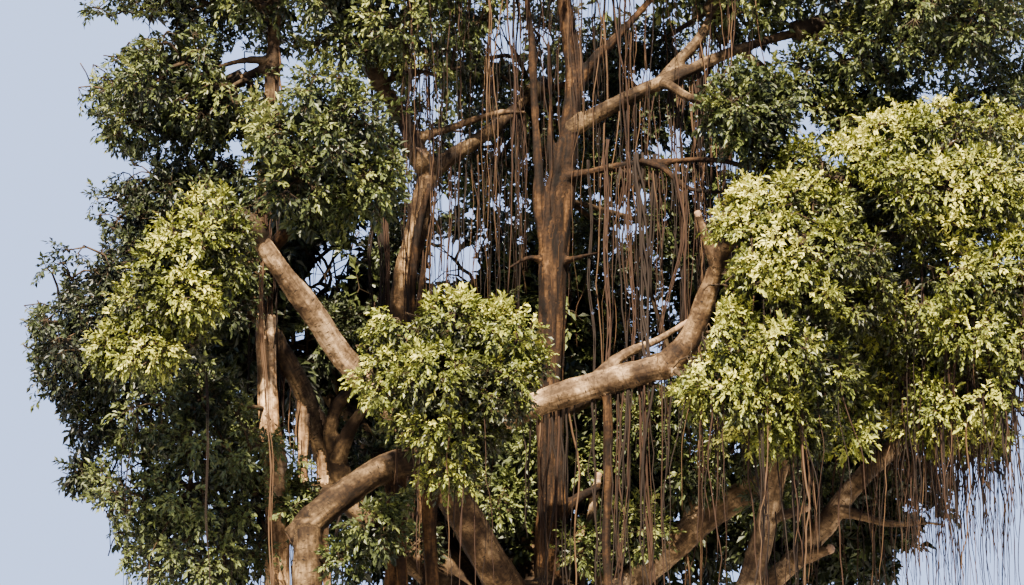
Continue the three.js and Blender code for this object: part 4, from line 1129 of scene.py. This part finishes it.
# Limbs that show bare from the front, and between which shares of their length
SHOWN_LIMBS = {"right_front_riser": (0, 0.85), "right_front_bough": (0.5, 1),
               "left_front_bough": (0.47, 0.92), "low_left_bough": (0.3, 1),
               "centre_left_leader": (0.7, 1), "centre_left_high": (0, 0.5)}
SIGHT_MARGIN = 0.035


def shown_samples():
    """The places and radii of the limbs that show bare."""
    parts = []
    for name, (first, last) in SHOWN_LIMBS.items():
        points, radii = smooth_route(LIMBS[name], RING_STEP)
        span = slice(int(first * len(points)), int(last * len(points)) + 1)
        parts.append((points[span], radii[span]))
    return np.vstack([part[0] for part in parts]), np.concatenate([part[1] for part in parts])


SHOWN_PLACES, SHOWN_RADII = shown_samples()


def in_front_of_limbs(points):
    """Whether each point would hide a limb that shows bare from the front."""
    sight, to_limb = points - CAMERA_PLACE, SHOWN_PLACES - CAMERA_PLACE
    far = norm(to_limb)
    along = np.minimum(unit(sight) @ unit(to_limb).T, 1)
    aside = far * np.sqrt(1 - along**2)
    nearer = norm(sight)[:, None] < far
    return ((aside < SHOWN_RADII + SIGHT_MARGIN) & nearer).any(1)


# Where one sees through the tree from the front: where the line of sight crosses the
# plane y = 0 (x, z), and the radius there, in the crown and along its outline
CROWN_GAPS = [
    (-2.4, 5.8, 0.26), (-2.57, 5.55, 0.16), (-2.13, 5.96, 0.12), (-0.45, 8.37, 0.24), (-0.95, 5.85, 0.28),
    (-1.21, 5.73, 0.16), (-3.45, 8.08, 0.22), (-2.67, 4.9, 0.16), (-1.34, 7.93, 0.17), (-0.01, 8.45, 0.13),
    (-0.5, 7.18, 0.12), (3.08, 8.63, 0.11), (2.12, 6.95, 0.1), (0.83, 6.18, 0.09), (2.1, 3.71, 0.08),
    (-2.04, 6.2, 0.1), (-3.49, 7.15, 0.09), (-0.93, 8.21, 0.09), (1.14, 7.93, 0.07), (0.31, 2.99, 0.07),
    (3.49, 3.07, 0.1), (3.98, 3.09, 0.12), (3.97, 2.4, 0.14), (0.31, 5.39, 0.07), (-0.65, 6.17, 0.09),
    (1.26, 7.12, 0.08), (-3.05, 5, 0.08), (0.82, 6.4, 0.09), (0.76, 5.97, 0.09), (0.63, 6.59, 0.06),
    (1.08, 6.54, 0.07), (1.39, 6.36, 0.07), (1.65, 6.65, 0.06), (0.62, 5.68, 0.06), (1.19, 5.96, 0.08),
    (1.52, 5.73, 0.07), (0.96, 5.51, 0.07), (0.55, 5.26, 0.06), (1.35, 5.39, 0.06), (1.08, 6.21, 0.06),
    (1.81, 6.36, 0.07), (1.75, 6.02, 0.06), (-1.11, 6.48, 0.07), (-0.83, 6.36, 0.06), (-0.55, 6.48, 0.07),
    (-0.27, 6.08, 0.07), (-0.49, 5.76, 0.07), (-0.72, 6.77, 0.06), (-1, 6.79, 0.06), (-0.27, 6.54, 0.06)]
OUTLINE_NOTCHES = [
    (-5.07, 8.53, 0.16), (-4.78, 8.55, 0.13), (-4.52, 8.56, 0.11), (-4.33, 8.58, 0.09), (-5.23, 8.31, 0.2),
    (-4.89, 8.37, 0.16), (-5.17, 8.17, 0.16), (-5.33, 7.91, 0.21), (-5.49, 7.63, 0.22), (-5.59, 7.29, 0.23),
    (-4.73, 6.91, 0.13), (-4.54, 6.91, 0.1), (-5.01, 6.94, 0.18), (-5.3, 7, 0.24), (-5.33, 6.48, 0.21),
    (-5.12, 6.1, 0.17), (-5.46, 6.28, 0.23), (-5.76, 5.83, 0.16), (-5.52, 5.58, 0.17), (-5.84, 5.64, 0.19),
    (-5.78, 4.27, 0.14), (-5.52, 4.05, 0.17), (-5.43, 3.76, 0.21), (-5.49, 3.39, 0.18), (-5.42, 3.06, 0.2),
    (-5.09, 2.95, 0.17), (-4.87, 2.93, 0.13), (-4.86, 2.62, 0.19), (-5.08, 2.62, 0.28), (-4.87, 2.32, 0.2),
    (4.32, 2.84, 0.2), (4.04, 2.52, 0.13), (4.49, 2.52, 0.2), (4.71, 2.95, 0.18), (5.29, 4.41, 0.13),
    (5.29, 4.03, 0.18), (5.23, 3.67, 0.14)]
GAPS = np.array(CROWN_GAPS + OUTLINE_NOTCHES)
GAP_UNEVENNESS = 0.3
GAP_EDGE_PATCH = 0.12


def in_a_gap(points):
    """Whether each point lies in the line of one of the gaps, which have uneven edges."""
    share = CAMERA_PLACE[1] / (CAMERA_PLACE[1] - points[:, 1])
    crossing = CAMERA_PLACE + (points - CAMERA_PLACE) * share[:, None]
    away = norm(crossing[:, None, [0, 2]] - GAPS[:, :2])
    edge = 1 + GAP_UNEVENNESS * value_noise(crossing / GAP_EDGE_PATCH, 61)
    return (away < GAPS[:, 2] * edge[:, None]).any(1)


OUTWARD_PULL = 0.7
TWIG_LENGTHS = (0.6, 1.3)
TWIG_BEND = 0.55
TWIG_CLEARANCE = 0.03
BEND_CLEARANCE = 0.01
DEEP_INSIDE = 0.55
BACK_COARSENESS = 0.3


def spray_paths(space, habit, lobes, hearts, rng):
    """Each lobe's twigs: they turn towards the outside, stand up on top and droop below.
    Returns their points, the middle of each one's clump and how coarse each is."""
    count = habit.sprays
    ways = np.stack([even_directions(count, rng) for _ in lobes])
    outward = unit(lobes - hearts)
    rise = habit.crown * np.maximum(0, outward[:, 2]) - habit.droop
    rise = np.stack([0 * rise, 0 * rise, rise], -1)
    ways = unit(ways + OUTWARD_PULL * outward[:, None] + rise[:, None])
    lengths = habit.lobe * rng.uniform(*TWIG_LENGTHS, (len(lobes), count))
    base, hearts = np.repeat(lobes, count, 0), np.repeat(hearts, count, 0)
    ways, lengths = ways.reshape(-1, 3), lengths.ravel()
    sag = np.array([0, 0, -1]) * (habit.droop * 0.5 * lengths)[:, None]
    middle = base + TWIG_BEND * lengths[:, None] * ways
    tips = base + lengths[:, None] * ways + sag
    coarse = np.clip((unit(tips - space.centre)[:, 1] - 0.1) / 0.4, 0, 1)
    coarse = np.maximum(coarse, np.clip((DEEP_INSIDE - space.depth(tips)) / 0.25, 0, 1))
    coarse = np.maximum(coarse, np.clip((tips[:, 2] - HIGH_UP) / 0.3, 0, 1))
    if habit is HABITS["back"]:
        coarse = BACK_COARSENESS * coarse
    keep = rng.random(len(tips)) > COARSE_LOSS * coarse
    keep &= space.holds(tips, EDGE_GIVE, TIP_GIVE)
    keep &= clear_of_limbs(tips, TWIG_CLEARANCE) & clear_of_limbs(middle, BEND_CLEARANCE)
    keep &= ((tips > BOX_LOW) & (tips < BOX_HIGH)).all(1)
    for places in (tips, middle):
        keep &= ~in_front_of_limbs(places)
    for places in (tips, middle, 0.5 * (middle + tips)):
        keep &= ~in_a_gap(places)
    return base[keep], middle[keep], tips[keep], hearts[keep], coarse[keep]


# Along a twig: where its leaves begin, the turn from each to the next, and how far the
# first and the last stand out, in radians
FIRST_LEAF = 0.25
LEAF_TURN = 2.4
LEAF_SPREADS = (1.15, 0.3)
LEAF_DROOP = np.array([0, 0, -0.15])
LEAF_SIZES = (0.7, 1.25)


def leaves_along(habit, base, middle, tips, hearts, coarse, rng):
    """Leaves along the outer part of each twig, turning round it."""
    shape = (len(base), LEAVES_PER_SPRAY)
    t = np.linspace(FIRST_LEAF, 1, LEAVES_PER_SPRAY)[None, :, None]
    start = bent(base[:, None], middle[:, None], tips[:, None], t)
    along = unit(tips - base)
    sideways = unit(np.cross(along, [0.1, 0.2, 1.0]))
    upward = np.cross(sideways, along)
    turn = (rng.random(len(base))[:, None] * 2 * np.pi + np.arange(LEAVES_PER_SPRAY) * LEAF_TURN
            + rng.normal(0, 0.3, shape))[..., None]
    spread = np.linspace(*LEAF_SPREADS, LEAVES_PER_SPRAY)[None, :, None]
    direction = (along[:, None] * np.cos(spread)
                 + np.sin(spread) * (np.cos(turn) * sideways[:, None] + np.sin(turn) * upward[:, None]))
    direction = unit(direction + LEAF_DROOP + rng.normal(0, 0.2, direction.shape))
    up = unit(np.array([0, 0, 0.9]) + 0.55 * unit(base - hearts + 1e-3)[:, None]
              + rng.normal(0, 0.45, direction.shape))
    size = habit.leaf * rng.uniform(*LEAF_SIZES, shape) * (1 + COARSE_GROWTH * coarse[:, None])
    return leaf_blades(start.reshape(-1, 3), direction.reshape(-1, 3), up.reshape(-1, 3), size.ravel())


# Painted light and shade on the sprays: a mean paleness, painted light on sprays facing the light, paler and
# darker patches at random, and painted shade deeper inside a mass
MEAN_PALENESS = 0.42
LIT_PALENESS = 0.24
PATCH_PALENESS = 0.45
PAINTED_DEPTH_SHADE = 0.7


def spray_shades(space, base, tips, hearts, rng):
    """A shade for each spray: painted light makes those facing the light pale, painted shade makes inner ones
    dark, and patches differ at random.
    """
    patch = value_noise(base / 0.5, 21) * 0.5 + value_noise(base / 0.18, 22) * 0.25
    facing = unit(tips - hearts) @ LIGHT
    pale = (MEAN_PALENESS + PAINTED_LIGHT_LIFT.get(space.name, 0) + LIT_PALENESS * facing + PATCH_PALENESS * patch
            + PAINTED_DEPTH_SHADE * (space.depth(tips) - 0.85) + rng.normal(0, 0.12, len(base)))
    shades = len(LEAVES[space.tone])
    return np.clip(((1 - pale) * shades).astype(int), 0, shades - 1)


WOOD_SIDES = 5
STEM_SIDES = 8
TWIG_SIDES = 3
TWIG_RADIUS = 0.0055


def grow(space, seed):
    """A mass's wood, twigs and leaves, the leaves' shades, and the joints of its wood."""
    rng = np.random.default_rng(seed)
    habit = habit_of(space)
    lobes, hearts = lobe_places(space, habit, rng)
    joints, stem, stem_radii, paths, widths = branch_tree(space, lobes)
    wood = merged([tubes(stem[None], stem_radii[None], STEM_SIDES), tubes(paths, widths, WOOD_SIDES)])
    base, middle, tips, hearts, coarse = spray_paths(space, habit, lobes, hearts, rng)
    twig_radii = np.broadcast_to([TWIG_RADIUS, 0], (len(base), 2))
    twigs = tubes(np.stack([base, tips], 1), twig_radii, TWIG_SIDES, pointed=True)
    blades = leaves_along(habit, base, middle, tips, hearts, coarse, rng)
    shades = np.repeat(spray_shades(space, base, tips, hearts, rng), 2 * LEAVES_PER_SPRAY)
    return wood, twigs, blades, shades, joints


spaces = [Space(name) for name in MASSES]
branch_joints = {}
for space in spaces:
    space.add_walls(spaces)
for number, space in enumerate(spaces + [Space(name) for name in TUFTS]):
    wood, twigs, blades, shades, joints = grow(space, number + 1)
    branch_joints[space.name] = joints
    slot = f"leaves_{space.tone}"
    node = space.limb if space.name in TUFTS else space.name
    mesh_piece(f"branches_{space.name}", *wood, [BRANCH_BARK], "bark", [node], smooth=True)
    mesh_piece(f"twigs_{space.name}", *twigs, [TWIG], slot, [node])
    mesh_piece(f"leaves_{space.name}", *blades, LEAVES[space.tone], slot, [node], shades)

# Hanging roots

# Ropes of several roots: how thick, which shade, and the way down
ROPES = [
    (0.026, 1, [(0.69, -0.45, 7.12), (0.66, -0.7, 5.82), (0.68, -0.95, 4.91), (0.65, -1.2, 4.36)]),
    (0.016, 0, [(0.49, -0.25, 6.94), (0.5, -0.4, 5.77), (0.49, -0.9, 4.38)]),
    (0.022, 1, [(0.92, -0.5, 6.97), (0.94, -0.7, 5.93), (0.95, -0.9, 5.24), (0.88, -1.2, 4.48)]),
    (0.05, 0, [(1.05, -0.5, 6.95), (1.05, -0.75, 5.97), (1.05, -0.9, 5.24), (1.05, -1.3, 4.45)]),
    (0.03, 0, [(1.22, -0.6, 6.92), (1.18, -0.6, 6.07), (1.14, -0.6, 4.96)]),
    (0.02, 1, [(1.5, -0.72, 6.6), (1.45, -0.85, 5.9), (1.35, -0.95, 5.34), (1.21, -1.05, 4.84)]),
    (0.032, 1, [(0.97, -1.38, 4.31), (1.01, -1.4, 3.27), (1.07, -1.4, 2.16), (1.07, -1.4, 0.04)]),
    (0.02, 2, [(-2.86, -2.25, 5.5), (-2.81, -2.15, 4.01), (-2.75, -2.1, 3.02), (-2.68, -2.1, 1.2)]),
    (0.012, 0, [(-3.39, -2.4, 4.3), (-3.34, -2.4, 3.19), (-3.32, -2.4, 1.6)]),
    (0.007, 0, [(-4.67, -0.6, 3.4), (-4.65, -0.6, 2.91), (-4.63, -0.6, 2.62)]),
    (0.042, 0, [(-1.86, 0.2, 7.9), (-1.85, 0.1, 6.33), (-1.81, 0, 5.0)]),
    (0.032, 1, [(-1.74, 0.1, 7.8), (-1.75, 0, 6.31), (-1.77, 0, 5.1)]),
    (0.026, 0, [(-1.96, 0.2, 8.0), (-1.93, 0.2, 5.3)]),
    (0.018, 1, [(-1.07, 0.25, 7.1), (-1.06, 0, 6.08), (-1.08, -0.1, 5.04)]),
    (0.014, 2, [(1.63, -1, 4.9), (1.63, -1, 3.31), (1.65, -1, 1.6)]),
    (0.02, 1, [(0.74, -1.35, 4.2), (0.71, -1.4, 3.27), (0.76, -1.4, 1.1)]),
]
ROPE_STRANDS = 5
ROPE_STEP = 0.12
ROPE_SIDES = 6
HANGING_SIDES = 4
SHADE_SHARES = [0.5, 0.32, 0.18]
ROOT_RINGS = 18
# How near to the ground the longest roots end
ROOT_END = 0.02


def wavy(paths, seed, amount, wave_length):
    """Paths that sway more the further they hang below their start."""
    down = paths[:, :1, 2] - paths[..., 2]
    own = 5.7 * np.arange(len(paths))[:, None] + 0 * down
    sway = np.stack([value_noise(np.stack([down / wave_length, own, 0 * down + axis], -1), seed)
                     for axis in range(2)] + [0 * down], -1)
    return paths + amount * sway * np.minimum(1, 3 * down)[..., None]


def rope(radius, route, seed):
    """A few roots wound loosely round each other."""
    points, _ = smooth_route([(*point, 0) for point in route], ROPE_STEP)
    line = np.repeat(wavy(points[None], seed, 0.04, 0.7), ROPE_STRANDS, 0)
    down = np.linspace(0, len(points) * ROPE_STEP, len(points))
    turn = 2.2 * down + 2 * np.pi * np.arange(ROPE_STRANDS)[:, None] / ROPE_STRANDS
    turn = turn + 1.5 * value_noise(np.stack([0 * turn + down, turn - down, 0 * turn], -1), seed)
    around = np.stack([np.cos(turn), np.sin(turn), 0 * turn], -1)
    taper = np.linspace(1.1, 0.75, len(points))[None] * np.ones((ROPE_STRANDS, 1))
    return tubes(line + 0.85 * radius * taper[..., None] * around, 0.27 * radius * taper, ROPE_SIDES)


def hang(carriers, count, x_span, length_span, radius_span, seed, clump, y_span=(-9, 9)):
    """Thin roots that hang from branches, drawn together into loose bundles."""
    rng = np.random.default_rng(seed)
    starts = np.vstack(carriers)
    x, y = starts[:, 0], starts[:, 1]
    starts = starts[(x > x_span[0]) & (x < x_span[1]) & (y > y_span[0]) & (y < y_span[1])]
    starts = starts[rng.integers(0, len(starts), count)]
    length = np.minimum(rng.uniform(*length_span, count), starts[:, 2] - ROOT_END)
    t = np.linspace(0, 1, ROOT_RINGS)
    bundle = np.round(starts[:, :2] / clump) * clump
    bundle = bundle + 0.2 * clump * rng.normal(0, 1, (count, 2))
    pull = (np.minimum(1, t / 0.5) ** 1.5)[None, :, None] * rng.uniform(0.3, 1.0, count)[:, None, None]
    flat = starts[:, None, :2] * (1 - pull) + bundle[:, None] * pull
    paths = np.concatenate([flat, (starts[:, 2, None] - t * length[:, None])[..., None]], -1)
    paths = wavy(wavy(paths, seed, 0.07, 0.8), seed + 1, 0.02, 0.22)
    radii = rng.uniform(*radius_span, count)[:, None] * np.linspace(1.2, 0.5, ROOT_RINGS)[None]
    vertices, faces = tubes(paths, radii, HANGING_SIDES)
    kinds = np.repeat(rng.choice(3, count, p=SHADE_SHARES), len(faces) // count)
    return vertices, faces, kinds


def wood_of(*names, first=0.2):
    """Places on the wood of boughs and masses. A bough's begin at a share of its length."""
    places = []
    for name in names:
        points = smooth_route(LIMBS[name], 0.05)[0] if name in LIMBS else branch_joints[name]
        places.append(points[int(first * len(points)):] if name in LIMBS else points)
    return places


crown = wood_of("top_centre", "top_centre_left", "top_right_mid", "back_high")
inner_limbs = wood_of("right_high_bough", "right_upper_bough", "centre_left_side", "top_right_mid_bough")
THIN, MIXED = (0.003, 0.008), (0.005, 0.014)
# Pieces of roots: the limbs that each stands for, and its roots
HANGS = {
    "centre": (["right_high_bough", "centre_left_side", "top_right_mid_bough"], [
        hang(crown, 190, (-1.6, 2.4), (1.6, 5.0), THIN, 31, 0.3, (-1.5, 1.2)),
        hang(inner_limbs, 150, (-1.5, 2.5), (0.8, 3.4), THIN, 32, 0.25),
        hang(crown + inner_limbs, 30, (-1.2, 1.8), (2.0, 5.2), (0.008, 0.015), 33, 0.3, (-1.0, 0.8))]),
    "right": (["right_end_bough"], [
        hang(wood_of("right_end", "right_outer", "right_end_bough"),
             420, (3.3, 4.95), (0.8, 2.4), THIN, 34, 0.3)]),
    "low_right": (["right_bough", "right_low_limb"], [
        hang(wood_of("right_bough") + wood_of("right_low_limb", "right_low", first=0.4),
             90, (1.2, 3.6), (0.8, 2.6), (0.004, 0.012), 35, 0.4)]),
    "left": (["left_low_bough", "left_outer_bough"], [
        hang(wood_of("left_low", "left_outer", "left_low_bough"),
             50, (-4.6, -2.6), (0.8, 2.6), THIN, 36, 0.4)]),
    "front": (["right_front_bough", "front_leader"], [
        hang(wood_of("right_front_bough"), 34, (-0.2, 1.4), (1.2, 4.4), MIXED, 37, 0.25),
        hang(wood_of("front_centre"), 20, (-1.6, -0.3), (0.9, 2.4), (0.004, 0.01), 38, 0.3)]),
    "inner_left": (["left_leader", "centre_left_leader"], [
        hang(wood_of("left_leader", "centre_left_leader", first=0.5) + wood_of("left_high_leader", first=0.3),
             90, (-3.4, -1.2), (1.0, 3.6), (0.004, 0.014), 39, 0.3)]),
    "back": (["back_low_bough", "right_back_bough", "back_left_leader", "back_centre_leader"], [
        hang(wood_of("back_low", "back_right", "back_left", "back_centre"),
             230, (-4.5, 4.8), (0.8, 3.0), MIXED, 40, 0.4)]),
}
for name, (nodes, parts) in HANGS.items():
    vertices, faces = merged([part[:2] for part in parts])
    kinds = np.concatenate([part[2] for part in parts])
    mesh_piece(f"hanging_roots_{name}", vertices, faces, HANGING_ROOTS, "root_bark", nodes,
               kinds, smooth=True)
ropes = [rope(radius, route, number) for number, (radius, _, route) in enumerate(ROPES)]
kinds = np.concatenate([np.full(len(faces), kind) for (_, kind, _), (_, faces) in zip(ROPES, ropes)])
mesh_piece("root_ropes", *merged(ropes), HANGING_ROOTS, "root_bark",
           ["right_front_bough", "centre_left_high", "left_front_bough"], kinds, smooth=True)

# Floor, light and camera

FLOOR_REACH = 90
FLOOR_COLOUR = (0.24, 0.23, 0.215)
AIR_COLOUR = (0.46, 0.61, 1.0)
AIR_STRENGTH = 2.1

corners = [(-FLOOR_REACH, -FLOOR_REACH, 0), (FLOOR_REACH, -FLOOR_REACH, 0),
           (FLOOR_REACH, FLOOR_REACH, 0), (-FLOOR_REACH, FLOOR_REACH, 0)]
floor_mesh = bpy.data.meshes.new("floor")
floor_mesh.from_pydata(corners, [], [(0, 1, 2, 3)])
floor_mesh.materials.append(plain_material("pale_floor", FLOOR_COLOUR, 0.9))
add_object("floor", floor_mesh)

world = bpy.data.worlds.new("studio")
bpy.context.scene.world = world
world.use_nodes = True
background = world.node_tree.nodes["Background"]
background.inputs["Color"].default_value = (*AIR_COLOUR, 1)
background.inputs["Strength"].default_value = AIR_STRENGTH


def sun(name, azimuth, elevation, strength, spread, colour):
    """A sun that shines from an azimuth, 0 at the front and 90 at the right."""
    lamp = bpy.data.lights.new(name, "SUN")
    lamp.energy = strength
    lamp.angle = math.radians(spread)
    lamp.color = colour
    add_object(name, lamp).rotation_euler = (math.radians(90 - elevation), 0, math.radians(azimuth))


sun("key", -8, 47, 44.0, 2, (1.0, 0.87, 0.66))
sun("fill", 160, 40, 5.0, 30, (0.95, 0.97, 1.0))

lens = bpy.data.cameras.new("camera")
lens.sensor_width = 36
lens.lens = CAMERA_LENS
lens.clip_end = 400
camera = add_object("camera", lens)
camera.location = CAMERA_PLACE
camera.rotation_euler = (math.radians(90 + CAMERA_PITCH), 0, 0)
bpy.context.scene.camera = camera

bpy.context.view_layer.update()
